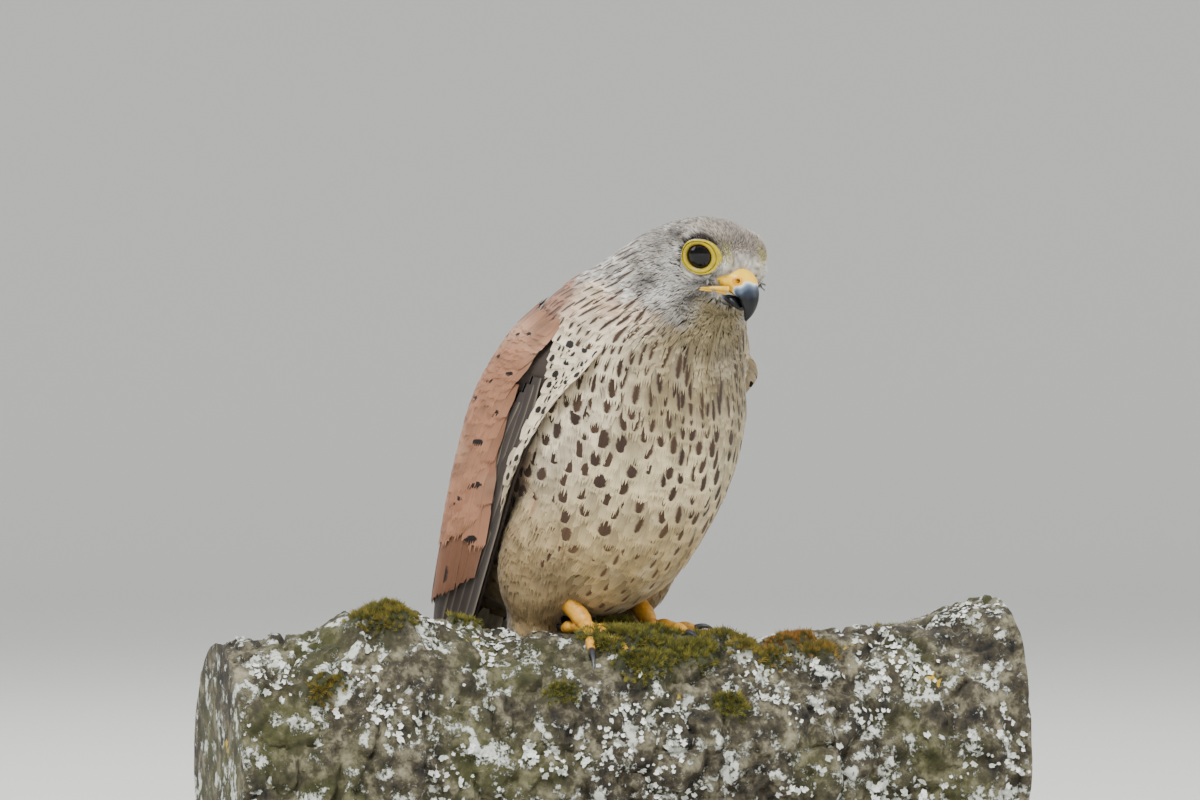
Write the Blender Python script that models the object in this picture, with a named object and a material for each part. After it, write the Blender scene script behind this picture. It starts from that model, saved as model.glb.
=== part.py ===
"""Common kestrel, adult male, as a life-size museum mount on a cut length of branch.

The bird faces -Y, with its right side at -X. The origin is at the middle of the stand's
underside, with +Z up. Sizes here are in millimetres and become metres as a mesh is made.
"""

import math

import bmesh
import bpy
import numpy as np
from mathutils import Vector

MM = 0.001
GAP = 0.3
WELD = 0.002
SMOOTH_ANGLE = 35

# The stand: a flat base, two short rods and the branch, whose top the feet stand on.
BASE_LENGTH = 230
BASE_WIDTH = 190
BASE_THICKNESS = 16
BASE_CORNER = 30
BASE_CORNER_STEPS = 7
BASE_BEVEL = 2.5
ROD_RADIUS = 4.5
ROD_SIDES = 20
ROD_SPACING = 120
TAIL_CLEARANCE = 9
PERCH_RADIUS = 46
PERCH_LENGTH = 300
PERCH_TURN = -27
PERCH_AHEAD = 5
PERCH_SIDES = 22
PERCH_STEPS = 20
PERCH_CALM = 75
PERCH_SWELLS = (2.2, 1.4, 0.8)

# The tail: where it leaves the body, from the feet, its fall and its size.
TAIL_ROOT = (57, 12)
TAIL_FALL = 62.5
TAIL_LENGTH = 152
TAIL_ROOT_WIDTH = 34
TAIL_CORE_HALF = 2.6
TAIL_CORE_SIDES = 14
TAIL_THICK = 3
TAIL_COVERTS_OVER = 6
TAIL_COVERTS_UNDER = 10

# The tail's tip hangs this far below the feet, and the rods are just long enough for it.
TAIL_DROP = TAIL_LENGTH * math.sin(math.radians(TAIL_FALL)) - TAIL_ROOT[1] + TAIL_THICK
PERCH_TOP = BASE_THICKNESS + TAIL_CLEARANCE + TAIL_DROP
FEET = np.array([0.0, -14.0, PERCH_TOP])

# Sections of the body from the tail's root to the bill, from the feet: the back's
# point (Y, Z), the front's point (Y, Z) and the half width.
SECTIONS = {
    "tail_root": ((67, 18), (46, 6), 18),
    "vent": ((58, 31), (26, 4), 25),
    "thighs": ((50, 44), (-2, 5), 31),
    "belly": ((43, 58), (-29, 20), 35.5),
    "middle": ((37, 77), (-50, 46), 39.5),
    "breast": ((32, 97), (-59.5, 72), 42.5),
    "chest": ((27, 112), (-60.5, 92), 41),
    "shoulders": ((18.5, 126), (-62, 104), 36.5),
    "neck_base": ((7.5, 134.5), (-65, 111), 30),
    "neck": ((-4, 139), (-68, 116), 26),
    "nape": ((-18, 145.5), (-69, 119), 22.8),
    "hindhead": ((-32, 152), (-70, 120.5), 20.8),
    "crown": ((-47, 155.2), (-70.5, 121.5), 19.8),
    "brow": ((-60, 154.8), (-71, 121.5), 18.6),
    "eyes": ((-69.2, 151), (-71.2, 120.6), 17.4),
    "forehead": ((-73.4, 146), (-71.6, 121), 12.2),
    "bill_base": ((-74.8, 139.8), (-72.4, 126.4), 5.8),
}
BODY_SIDES = 24
BODY_STEPS = 33

# The head's frame: the point between the eyes, from the feet, how far it looks down,
# how far it leans to the bird's left and how far it turns there about the neck.
HEAD_AT = (0, -64.7, 139)
HEAD_PITCH = 39
HEAD_LEAN = 5
HEAD_TURN = 2
TURN_FROM = 7
TURN_TO = 11
NECK_PIVOT = (0, -55)

# Each eye in the head's frame and the way it looks, away from straight ahead. In the
# eye's own frame (front, up, out): the bowl it lies in, its lid and the ridge above it.
EYE_AT = (-2.8, 0, 10.5)
EYE_LOOK = 58
EYE_RADIUS = 7.0
BOWL_OUT = 16.4
BOWL_RADIUS = 12
LID_OUT = 6.1
LID_RADIUS = 6.0
LID_THICKNESS = 1.1
LID_LONGER = 1.05
LID_STEPS = 16
LID_SIDES = 5
BROW = [(-9, 5.6, 1.1), (-4, 7.9, 1.9), (3, 8.5, 1.9), (8.5, 6.6, 1.2)]
BROW_RADII = [1.6, 2.4, 2.4, 1.6]

# The bill in the head's frame: its middle line (ahead, up), half height and half width.
BILL_UPPER = [
    (8.6, -1.8, 4.8, 6.6),
    (11.6, -1.6, 4.8, 6.3),
    (14.8, -1.9, 4.4, 5.4),
    (17.8, -3.0, 3.6, 4.3),
    (20.2, -5.1, 2.8, 3.1),
    (21.8, -7.8, 1.8, 1.8),
    (22.6, -10.8, 0.4, 0.4),
]
BILL_LOWER = [(6, -8.6, 2.6, 6.2), (10.5, -8.3, 2.4, 5.4), (14.8, -8.3, 2.0, 4.1), (18.4, -8.6, 0.9, 2.1)]
NOSTRIL_AT = (13.6, 0.1)
NOSTRIL_RADIUS = 0.9
NOSTRIL_FLOOR = 3.2
GAPE = [(13.2, -5.4, 5.6), (11.4, -6.4, 8.6), (7.4, -9.4, 12.8)]
LIP_RADIUS = 1.5
MOUTH_RADIUS = 0.5

# The planes that part the body: a point on each (Y, Z) and its slope up to the back.
NECK_CUT = ((-28, 123), 17)
HEAD_CUT = ((-44, 133), 31)

# Rows of each folded wing from shoulder to tip, from the feet: the points on its
# front edge, its outer side and its inner edge over the back.
WING_ROWS = {
    "shoulder": ((32, -30, 113), (36, -2, 123), (14, 18, 128)),
    "wrist": ((43.5, -26, 100), (47, 6, 108), (17, 29, 115)),
    "coverts": ((45.5, -12, 87), (48, 22, 90), (14, 38, 97)),
    "greater": ((45, 6, 65), (48, 33, 66), (12, 45, 72)),
    "tertials": ((44.5, 17, 42), (46.5, 42, 42), (6, 56, 48)),
    "folded": ((40, 33, 16), (41.5, 54, 16), (4, 72, 24)),
    "primaries": ((36, 46, -5), (35.5, 63.5, -5), (4, 78, -1)),
    "hand": ((29, 70, -40), (25, 87, -37), (4, 92, -35)),
    "tip": ((21, 111, -86.5), (13, 113.3, -85), (4, 113.8, -84.6)),
}
# The wing's core, which the feathers grow from: along the rows, how deep its outer and
# inner faces lie below the wing's surface, and the share of the wing that it spans.
CORE_DEPTHS = {0.1: (3.4, 6), 1: (2.6, 8), 2: (3.4, 9), 3: (4.4, 9.5), 4.1: (5.4, 9.5), 5: (6.8, 8.4)}
CORE_ACROSS = (0.1, 1.9)
CORE_EDGE = 0.5
CORE_RINGS = 9
CORE_COLUMNS = 7

# Each tier of wing feathers: how many, the rows of the first and last root and tip, the
# places across the wing of the first and last feather at their roots and tips, half
# the width, and how deep below the surface a feather's middle lies along the rows.
WING_TIERS = {
    "primaries": {
        "count": 6,
        "roots": (3.8, 3.9),
        "tips": (8.0, 6.8),
        "first": (0.14, 0.4),
        "last": (1.2, 1.75),
        "half": 8,
        "depths": [(3.8, 7.4), (5.0, 6.3), (5.7, 5.4), (6.6, 4.2), (8, 2.2)],
        "tip": 0.16,
    },
    "secondaries": {
        "count": 7,
        "roots": (2.9, 2.5),
        "tips": (5.2, 5.75),
        "first": (0.35, 0.55),
        "last": (1.75, 1.72),
        "half": 8.2,
        "depths": [(2.5, 5.6), (3.3, 4.4), (4.1, 3.5), (5.75, 1.3)],
        "tip": 0.3,
    },
    "greater_coverts": {
        "count": 5,
        "roots": (2.1, 1.9),
        "tips": (3.85, 4.2),
        "first": (0.16, 0.22),
        "last": (1.3, 1.34),
        "half": 7.2,
        "depths": [(1.9, 4.6), (3.0, 3.0), (4.2, 0.6)],
        "tip": 0.35,
    },
    "median_coverts": {
        "count": 5,
        "roots": (1.2, 1.1),
        "tips": (2.8, 3.05),
        "first": (0.14, 0.18),
        "last": (1.28, 1.32),
        "half": 7.2,
        "depths": [(1.1, 4.0), (2.0, 2.6), (3.05, 0.4)],
        "tip": 0.4,
    },
    "lesser_coverts": {
        "count": 5,
        "roots": (0.4, 0.4),
        "tips": (1.9, 2.0),
        "first": (0.14, 0.16),
        "last": (1.26, 1.3),
        "half": 7.2,
        "depths": [(0.4, 2.6), (1.2, 1.7), (2.0, 0.1)],
        "tip": 0.45,
    },
    "scapulars": {
        "count": 3,
        "roots": (0.4, 0.4),
        "tips": (3.1, 3.4),
        "first": (1.52, 1.5),
        "last": (1.76, 1.7),
        "half": 7,
        "depths": [(0.4, 2.6), (1.5, 2.2), (3.5, 0.1)],
        "tip": 0.35,
    },
}
VANE_THICKNESS = 0.52
VANE_PITCH = 0.86
VANE_ROOT = 0.62
VANE_TAPER_FROM = 0.55
VANE_TIP_THINNER = 0.5
LONG_STATIONS = [0, 0.3, 0.6, 0.85, 1]
COVERT_STATIONS = [0, 0.55, 0.85, 1]
COVERT_LONGEST = 2.5
TAIL_STATIONS = [0, 0.35, 0.75, 0.93, 1]

# The tail's feathers: pairs below a middle pair, fanned a little, outer ones shorter.
TAIL_PAIRS = 5
TAIL_HALF = 7.6
TAIL_STEP = (1.5, 2.6)
TAIL_SHORTER = 3.2
TAIL_CORE_LENGTH = 34
TAIL_VANE_ROOT = 0.55
TAIL_MIDDLE_PAIR = 1.1
TAIL_TIP = 0.42
TAIL_DROOP = 0.012

# The legs: how far apart the ankles are, the shank's middle line, and for each toe
# its turn from straight ahead away from the other foot, its length and thickness.
LEG_SPREAD = 16
ANKLE_BACK = -6
SHANK = [(19, 13, 24), (18, 7, 15), (16.5, -3, 6.5)]
SHANK_RADII = [3.0, 2.9, 3.4]
ANKLE_RADIUS = 2.2
ANKLE_LIFT = 2.0
THIGH = [(23, 0, 52), (25, 3, 41), (24.5, 9, 30), (23, 14, 18), (21, 18, 8)]
THIGH_RADII = [9, 15.5, 16.5, 15, 10.5]
TOES = {
    "inner": (-38, 15, 2.5),
    "middle": (-2, 21, 2.6),
    "outer": (36, 17, 2.3),
    "hind": (176, 12, 2.7),
}
TOE_LIFT = 0.45
TOE_STEPS = 7
TOE_TAPER = 0.32
KNUCKLE = 0.07
KNUCKLES = 2.5
CLAW_LENGTH = 10
CLAW_ARCH = 1.6
CLAW_REACH = 0.86
CLAW_ROOT = 0.92
CLAW_TIP = 0.15


def catmull(points, at):
    """The smooth curve through a list of equal rows, read at each place in at."""
    points = np.asarray(points, dtype=float)
    last = len(points) - 1
    rows = []
    for place in np.atleast_1d(at):
        i = int(min(max(math.floor(place), 0), last - 1))
        f = place - i
        p1 = points[i]
        p2 = points[i + 1]
        p0 = points[i - 1] if i > 0 else 2 * p1 - p2
        p3 = points[i + 2] if i + 2 <= last else 2 * p2 - p1
        bend = (2 * p0 - 5 * p1 + 4 * p2 - p3) * f * f + (3 * p1 - p0 - 3 * p2 + p3) * f ** 3
        rows.append(p1 + 0.5 * ((p2 - p0) * f + bend))
    return np.array(rows)


def material(name, colour, roughness, metallic=0.0):
    """A Principled material, whose colour is given in sRGB from 0 to 1."""
    made = bpy.data.materials.new(name)
    made.use_nodes = True
    shader = made.node_tree.nodes["Principled BSDF"]
    linear = [channel ** 2.2 for channel in colour]
    shader.inputs["Base Color"].default_value = (*linear, 1.0)
    shader.inputs["Roughness"].default_value = roughness
    shader.inputs["Metallic"].default_value = metallic
    return made


def loft(rings):
    """A closed bmesh through rings of equal counts, with a fan of faces on each end."""
    mesh = bmesh.new()
    grid = [[mesh.verts.new(point) for point in ring] for ring in rings]
    count = len(grid[0])
    for lower, upper in zip(grid, grid[1:]):
        for i in range(count):
            j = (i + 1) % count
            mesh.faces.new((lower[i], lower[j], upper[j], upper[i]))
    for ring in (grid[0], grid[-1]):
        centre = mesh.verts.new(sum((vert.co for vert in ring), Vector()) / count)
        for i in range(count):
            mesh.faces.new((ring[i], ring[(i + 1) % count], centre))
    bmesh.ops.recalc_face_normals(mesh, faces=mesh.faces)
    return mesh


def tube(path, radii, sides=10, start=None):
    """A closed round tube along a path, with a radius at each point and a start facing."""
    path = [Vector(point) for point in path]
    rings = []
    for i, (point, radius) in enumerate(zip(path, radii)):
        ahead = (path[min(i + 1, len(path) - 1)] - path[max(i - 1, 0)]).normalized()
        if i == 0 and start is not None:
            ahead = start
        guide = Vector((1, 0, 0)) if abs(ahead.x) < 0.8 else Vector((0, 0, 1))
        across = ahead.cross(guide).normalized()
        over = across.cross(ahead)
        ring = []
        for k in range(sides):
            angle = math.tau * k / sides
            spoke = across * math.cos(angle) + over * math.sin(angle)
            ring.append(point + spoke * float(radius))
        rings.append(ring)
    return loft(rings)


def add(name, mesh, look, collection):
    """A named object from a bmesh in millimetres, moved from the feet's frame to the part's."""
    shift = Vector(FEET)
    for vert in mesh.verts:
        vert.co = (vert.co + shift) * MM
    data = bpy.data.meshes.new(name)
    mesh.to_mesh(data)
    mesh.free()
    made = bpy.data.objects.new(name, data)
    if look is None:
        made.hide_render = True
        made.display_type = "WIRE"
    else:
        data.materials.append(look)
    data.shade_smooth()
    data.set_sharp_from_angle(angle=math.radians(SMOOTH_ANGLE))
    collection.objects.link(made)
    return made


def apply_boolean(target, cutters, operation):
    """Joins or cuts a mesh by all the meshes of a collection, and removes those objects."""
    group = bpy.data.collections.new("pieces")
    bpy.context.scene.collection.children.link(group)
    for cutter in cutters:
        group.objects.link(cutter)
    modifier = target.modifiers.new("fuse", "BOOLEAN")
    modifier.operation = operation
    modifier.solver = "MANIFOLD"
    modifier.operand_type = "COLLECTION"
    modifier.collection = group
    graph = bpy.context.evaluated_depsgraph_get()
    fused = bpy.data.meshes.new_from_object(target.evaluated_get(graph))
    target.modifiers.clear()
    old = target.data
    target.data = fused
    bpy.data.meshes.remove(old)
    for cutter in cutters:
        bpy.data.objects.remove(cutter)
    bpy.data.collections.remove(group)
    keep_largest(target)


def keep_largest(target):
    """Leaves only the closed surface of a mesh that holds the most, free of doubles."""
    mesh = bmesh.new()
    mesh.from_mesh(target.data)
    bmesh.ops.triangulate(mesh, faces=mesh.faces)
    bmesh.ops.remove_doubles(mesh, verts=mesh.verts, dist=WELD * MM)
    left = set(mesh.verts)
    shells = []
    while left:
        shell = {left.pop()}
        edge = list(shell)
        while edge:
            vert = edge.pop()
            for link in vert.link_edges:
                other = link.other_vert(vert)
                if other in left:
                    left.remove(other)
                    shell.add(other)
                    edge.append(other)
        shells.append(shell)
    biggest = max(shells, key=shell_volume)
    loose = [vert for shell in shells if shell is not biggest for vert in shell]
    bmesh.ops.delete(mesh, geom=loose, context="VERTS")
    mesh.to_mesh(target.data)
    mesh.free()
    target.data.shade_smooth()
    target.data.set_sharp_from_angle(angle=math.radians(SMOOTH_ANGLE))


def shell_volume(shell):
    """The volume inside the faces of a shell of vertices."""
    faces = {face for vert in shell for face in vert.link_faces}
    total = 0.0
    for face in faces:
        a, b, c = [vert.co for vert in face.verts]
        total += a.dot(b.cross(c)) / 6
    return abs(total)


def turn_head(point, place):
    """Turns a body point about the neck, by more the nearer its section is to the head."""
    share = min(max((place - TURN_FROM) / (TURN_TO - TURN_FROM), 0), 1)
    share = share * share * (3 - 2 * share)
    angle = math.radians(HEAD_TURN) * share
    x = point[0] - NECK_PIVOT[0]
    y = point[1] - NECK_PIVOT[1]
    turned_x = x * math.cos(angle) - y * math.sin(angle)
    turned_y = x * math.sin(angle) + y * math.cos(angle)
    return Vector((turned_x + NECK_PIVOT[0], turned_y + NECK_PIVOT[1], point[2]))


def body_mesh(grow=0.0):
    """The whole body from tail root to bill as one closed surface, grown outward."""
    table = [(*back, *front, half) for back, front, half in SECTIONS.values()]
    places = np.linspace(0, len(table) - 1, BODY_STEPS)
    rings = []
    for place, row in zip(places, catmull(table, places)):
        back = row[0:2]
        front = row[2:4]
        middle = (back + front) / 2
        reach = back - middle
        length = np.linalg.norm(reach)
        along = reach / length
        ring = []
        for k in range(BODY_SIDES):
            angle = math.tau * k / BODY_SIDES
            side = (row[4] + grow) * math.sin(angle)
            deep = (length + grow) * math.cos(angle)
            y, z = middle + along * deep
            ring.append(turn_head((side, y, z), place))
        rings.append(ring)
    return loft(rings)


def head_point(forward, up, side=0.0):
    """A point given in the head's frame: ahead of, above and to the right of the eyes."""
    pitch = math.radians(HEAD_PITCH)
    lean = math.radians(HEAD_LEAN)
    across = side * math.cos(lean) - up * math.sin(lean)
    over = side * math.sin(lean) + up * math.cos(lean)
    y = HEAD_AT[1] - forward * math.cos(pitch) - over * math.sin(pitch)
    z = HEAD_AT[2] - forward * math.sin(pitch) + over * math.cos(pitch)
    return turn_head((HEAD_AT[0] - across, y, z), TURN_TO)


def eye_point(sign, front, up, out):
    """A point in the frame of the right (1) or left (-1) eye, out along the way it looks."""
    look = math.radians(EYE_LOOK)
    ahead = EYE_AT[0] + front * math.sin(look) + out * math.cos(look)
    side = EYE_AT[2] - front * math.cos(look) + out * math.sin(look)
    return head_point(ahead, EYE_AT[1] + up, sign * side)


def plane_of(cut):
    """The point and the upward, head-side direction of a plane that parts the body."""
    (y, z), slope = cut
    angle = math.radians(slope)
    return Vector((0, y, z)), Vector((0, -math.sin(angle), math.cos(angle)))


def part_body(mesh, lower=None, upper=None):
    """Keeps what lies between two cuts, half a gap clear of each, with flat cut faces."""
    for cut, side in ((lower, 1), (upper, -1)):
        if cut is None:
            continue
        point, up = plane_of(cut)
        everything = mesh.verts[:] + mesh.edges[:] + mesh.faces[:]
        bmesh.ops.bisect_plane(
            mesh,
            geom=everything,
            plane_co=point + up * side * GAP / 2,
            plane_no=up * side,
            clear_inner=True,
        )
        edges = [edge for edge in mesh.edges if edge.is_boundary]
        bmesh.ops.edgeloop_fill(mesh, edges=edges)
    bmesh.ops.triangulate(mesh, faces=mesh.faces)
    bmesh.ops.recalc_face_normals(mesh, faces=mesh.faces)
    return mesh


def wing_surface(along, across):
    """A point on the left wing's outer surface: along is a row, across 0 front to 2 inner."""
    rows = [[value for point in row for value in point] for row in WING_ROWS.values()]
    row = catmull(rows, along)[0].reshape(3, 3)
    return Vector(catmull(row, across)[0])


def wing_normal(along, across):
    """The direction out of the left wing's surface."""
    step = 0.04
    last = len(WING_ROWS) - 1
    up = wing_surface(min(along + step, last), across) - wing_surface(max(along - step, 0), across)
    side = wing_surface(along, across + step) - wing_surface(along, across - step)
    return up.cross(side).normalized()


def keyed(keys, at):
    """The straight-line value between keys, given as pairs of place and value."""
    places = [key[0] for key in keys]
    values = [key[1] for key in keys]
    return float(np.interp(at, places, values))


def wing_core(sign):
    """The wing's core: a tapered body below its surface, thin at both edges."""
    tops = [(along, depths[0]) for along, depths in CORE_DEPTHS.items()]
    floors = [(along, depths[1]) for along, depths in CORE_DEPTHS.items()]
    rings = []
    for along in np.linspace(min(CORE_DEPTHS), max(CORE_DEPTHS), CORE_RINGS):
        outer = []
        inner = []
        for across in np.linspace(*CORE_ACROSS, CORE_COLUMNS):
            point = wing_surface(along, across)
            normal = wing_normal(along, across)
            share = (across - CORE_ACROSS[0]) / (CORE_ACROSS[1] - CORE_ACROSS[0])
            full = max(math.sin(math.pi * share), 0) ** 0.5
            top = keyed(tops, along)
            floor = top + CORE_EDGE + (keyed(floors, along) - top - CORE_EDGE) * full
            outer.append(point - normal * top)
            inner.append(point - normal * floor)
        rings.append([Vector((point.x * sign, point.y, point.z)) for point in outer + inner[::-1]])
    return loft(rings)


def vane(tops, floors):
    """A closed thin feather from matching rows of points on its two faces."""
    mesh = bmesh.new()
    upper = [[mesh.verts.new(point) for point in row] for row in tops]
    lower = [[mesh.verts.new(point) for point in row] for row in floors]
    last = len(tops[0]) - 1
    for i in range(len(tops) - 1):
        for face, flip in ((upper, False), (lower, True)):
            for k in range(last):
                corners = (face[i][k], face[i + 1][k], face[i + 1][k + 1], face[i][k + 1])
                for triple in ((corners[0], corners[1], corners[2]), (corners[0], corners[2], corners[3])):
                    mesh.faces.new(triple[::-1] if flip else triple)
        for k, flip in ((0, True), (last, False)):
            corners = (upper[i][k], upper[i + 1][k], lower[i + 1][k], lower[i][k])
            mesh.faces.new(corners[::-1] if flip else corners)
    for i, flip in ((0, False), (len(tops) - 1, True)):
        for k in range(last):
            corners = (upper[i][k], upper[i][k + 1], lower[i][k + 1], lower[i][k])
            mesh.faces.new(corners[::-1] if flip else corners)
    bmesh.ops.recalc_face_normals(mesh, faces=mesh.faces)
    return mesh


def vane_width(share, tip):
    """A feather's breadth at a share of its length, as a share of its full breadth."""
    taper = max(share - VANE_TAPER_FROM, 0) / (1 - VANE_TAPER_FROM)
    return min(VANE_ROOT + 1.3 * share, 1.0) * (1 - (1 - tip) * taper ** 2)


def wing_vane(sign, tier, index):
    """One wing feather, which lies in its tier like a shingle."""
    count = tier["count"]
    share = index / (count - 1)
    start = tier["roots"][0] + (tier["roots"][1] - tier["roots"][0]) * share
    end = tier["tips"][0] + (tier["tips"][1] - tier["tips"][0]) * share
    low = min(tier["roots"])
    high = max(tier["tips"])
    tops = []
    floors = []
    stations = COVERT_STATIONS if end - start < COVERT_LONGEST else LONG_STATIONS
    for station in stations:
        along = start + (end - start) * station
        ahead = (along - low) / (high - low)
        first = tier["first"][0] + (tier["first"][1] - tier["first"][0]) * ahead
        last = tier["last"][0] + (tier["last"][1] - tier["last"][0]) * ahead
        middle = first + (last - first) * share
        spacing = (last - first) / (count - 1)
        breadth = (wing_surface(along, middle + 0.1) - wing_surface(along, middle - 0.1)).length / 0.2
        half = tier["half"] * vane_width(station, tier["tip"]) / breadth
        thick = VANE_THICKNESS * (1 - VANE_TIP_THINNER * station ** 4)
        top_row = []
        floor_row = []
        for side in (-1, 0, 1):
            across = middle + side * half
            depth = keyed(tier["depths"], along) + VANE_PITCH * (across - middle) / spacing
            point = wing_surface(along, across)
            normal = wing_normal(along, across)
            for row, away in ((top_row, thick / 2), (floor_row, -thick / 2)):
                place = point + normal * (away - depth)
                row.append(Vector((place.x * sign, place.y, place.z)))
        tops.append(top_row)
        floors.append(floor_row)
    return vane(tops, floors)


def add_wing(name, sign, looks, parts, cutters):
    """A folded wing: its core with each tier of feathers, cut clear of the body."""
    wing = add("wing_" + name, wing_core(sign), looks["wing"], parts)
    vanes = []
    for tier in WING_TIERS.values():
        for index in range(tier["count"]):
            vanes.append(add("vane", wing_vane(sign, tier, index), None, cutters))
    apply_boolean(wing, vanes, "UNION")
    clear = [add("torso_cutter", body_mesh(GAP), None, cutters)]
    clear.append(add("thigh_cutter", thigh_mesh(sign, GAP), None, cutters))
    clear.append(add("tail_cutter", tail_core(GAP), None, cutters))
    apply_boolean(wing, clear, "DIFFERENCE")


def tail_frame(along, across, over):
    """A point in the tail's frame: down the tail, to the bird's left and out of its back."""
    fall = math.radians(TAIL_FALL)
    y = TAIL_ROOT[0] + along * math.cos(fall) + over * math.sin(fall)
    z = TAIL_ROOT[1] - along * math.sin(fall) + over * math.cos(fall)
    return Vector((across, y, z))


def tail_core(grow=0.0):
    """The tail's root, with the bulk of the small feathers over and under it."""
    rings = []
    for share in np.linspace(0, 1, 6):
        along = GAP + TAIL_CORE_LENGTH * share + (grow if share == 1 else -grow)
        half = TAIL_ROOT_WIDTH / 2 * (1 - 0.12 * share ** 2) + grow
        ring = []
        for k in range(TAIL_CORE_SIDES):
            angle = math.tau * k / TAIL_CORE_SIDES
            bulk = TAIL_COVERTS_OVER if math.cos(angle) > 0 else TAIL_COVERTS_UNDER
            deep = TAIL_CORE_HALF + bulk * (1 - share ** 1.5)
            ring.append(tail_frame(along, half * math.sin(angle), (deep + grow) * math.cos(angle)))
        rings.append(ring)
    return loft(rings)


def tail_vane(side, pair):
    """One tail feather: pair 0 is the middle one, and outer pairs lie below it."""
    level = VANE_PITCH * (1 - pair) if pair else 2 * VANE_PITCH * (side > 0)
    root = TAIL_CORE_LENGTH * TAIL_VANE_ROOT
    length = TAIL_LENGTH - TAIL_SHORTER * max(pair - 0.4, 0)
    tops = []
    floors = []
    for station in TAIL_STATIONS:
        along = root + (length - root) * station
        step = TAIL_STEP[0] + (TAIL_STEP[1] - TAIL_STEP[0]) * along / TAIL_LENGTH
        middle = side * (TAIL_HALF * 0.5 + step * (pair + 0.6)) if pair else side * TAIL_MIDDLE_PAIR
        half = TAIL_HALF * vane_width(station, TAIL_TIP)
        thick = VANE_THICKNESS * (1 - VANE_TIP_THINNER * station ** 4)
        inner = middle - side * half
        if pair and inner * side < GAP:
            inner = side * GAP
        row = [inner, (inner + middle + side * half) / 2, middle + side * half]
        row = row if side > 0 else row[::-1]
        droop = [TAIL_DROOP * x * x * station for x in row]
        tops.append([tail_frame(along, x, level + thick / 2 - d) for x, d in zip(row, droop)])
        floors.append([tail_frame(along, x, level - thick / 2 - d) for x, d in zip(row, droop)])
    return vane(tops, floors)


def add_tail(looks, parts, cutters):
    """The tail: its root and twelve feathers, the middle pair on top."""
    tail = add("tail", tail_core(), looks["tail"], parts)
    vanes = []
    for pair in range(TAIL_PAIRS + 1):
        for side in (1, -1):
            vanes.append(add("vane", tail_vane(side, pair), None, cutters))
    apply_boolean(tail, vanes, "UNION")


def perch_frame(along, across):
    """A point on the branch's axis, moved across it, level with its top."""
    turn = math.radians(PERCH_TURN)
    across = across - PERCH_AHEAD
    x = along * math.cos(turn) - across * math.sin(turn)
    y = along * math.sin(turn) + across * math.cos(turn)
    return x, y


def perch_radius(along, angle):
    """The branch's radius, uneven away from where the feet stand."""
    rough = 1 - math.exp(-((along / PERCH_CALM) ** 4))
    waves = (math.sin(along / 19), math.sin(along / 11 + 2 * angle), math.sin(3 * angle + along / 30))
    return PERCH_RADIUS + rough * sum(swell * wave for swell, wave in zip(PERCH_SWELLS, waves))


def perch_mesh():
    """The cut branch, flat at both ends."""
    rings = []
    for along in np.linspace(-PERCH_LENGTH / 2, PERCH_LENGTH / 2, PERCH_STEPS):
        ring = []
        for k in range(PERCH_SIDES):
            angle = math.tau * k / PERCH_SIDES
            radius = perch_radius(along, angle)
            x, y = perch_frame(along, radius * math.sin(angle))
            ring.append(Vector((x, y, radius * math.cos(angle) - PERCH_RADIUS)))
        rings.append(ring)
    return loft(rings)


def perch_height(x, y):
    """The height of the branch's top under a point near the feet."""
    turn = math.radians(PERCH_TURN)
    across = -x * math.sin(turn) + y * math.cos(turn) + PERCH_AHEAD
    return math.sqrt(PERCH_RADIUS ** 2 - across ** 2) - PERCH_RADIUS


def thigh_mesh(sign, grow=0.0):
    """The feathered thigh, from the flank down to the heel."""
    places = np.linspace(0, len(THIGH) - 1, 12)
    centres = catmull(THIGH, places)
    sizes = catmull([[radius] for radius in THIGH_RADII], places)[:, 0]
    return tube([(sign * x, y, z) for x, y, z in centres], sizes + grow, 16)


def toe_point(sign, turn, reach, lift):
    """A point over the branch, so far along a toe from the ankle and so high above it."""
    angle = math.radians(turn)
    x = sign * (LEG_SPREAD + reach * math.sin(angle))
    y = ANKLE_BACK - reach * math.cos(angle)
    return Vector((x, y, perch_height(x, y) + TOE_LIFT + lift))


def toe_line(sign, toe):
    """The middle line of one toe, from inside the ankle, and its radii with knuckles."""
    turn, length, thick = TOES[toe]
    path = []
    radii = []
    for share in np.linspace(0, 1, TOE_STEPS):
        radius = thick * (1 - TOE_TAPER * share + KNUCKLE * math.cos(share * math.tau * KNUCKLES))
        path.append(toe_point(sign, turn, length * share, radius))
        radii.append(radius)
    return path, radii


def claw_mesh(sign, toe):
    """One curved claw, whose flat root faces the end of its toe across a gap."""
    turn, length, _ = TOES[toe]
    toe_path, toe_radii = toe_line(sign, toe)
    ahead = (toe_path[-1] - toe_path[-2]).normalized()
    root = toe_radii[-1]
    path = [toe_path[-1] + ahead * GAP]
    radii = [root * CLAW_ROOT]
    for share in np.linspace(0, 1, 6)[1:]:
        radius = max(root * CLAW_ROOT * (1 - share ** 1.4), CLAW_TIP)
        arch = CLAW_ARCH * math.sin(math.pi * share ** 0.8) * share ** 0.2
        reach = length + GAP + CLAW_LENGTH * CLAW_REACH * share
        path.append(toe_point(sign, turn, reach, max(root * (1 - share), radius) + arch))
        radii.append(radius)
    return tube(path, radii, 6, ahead)


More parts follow.
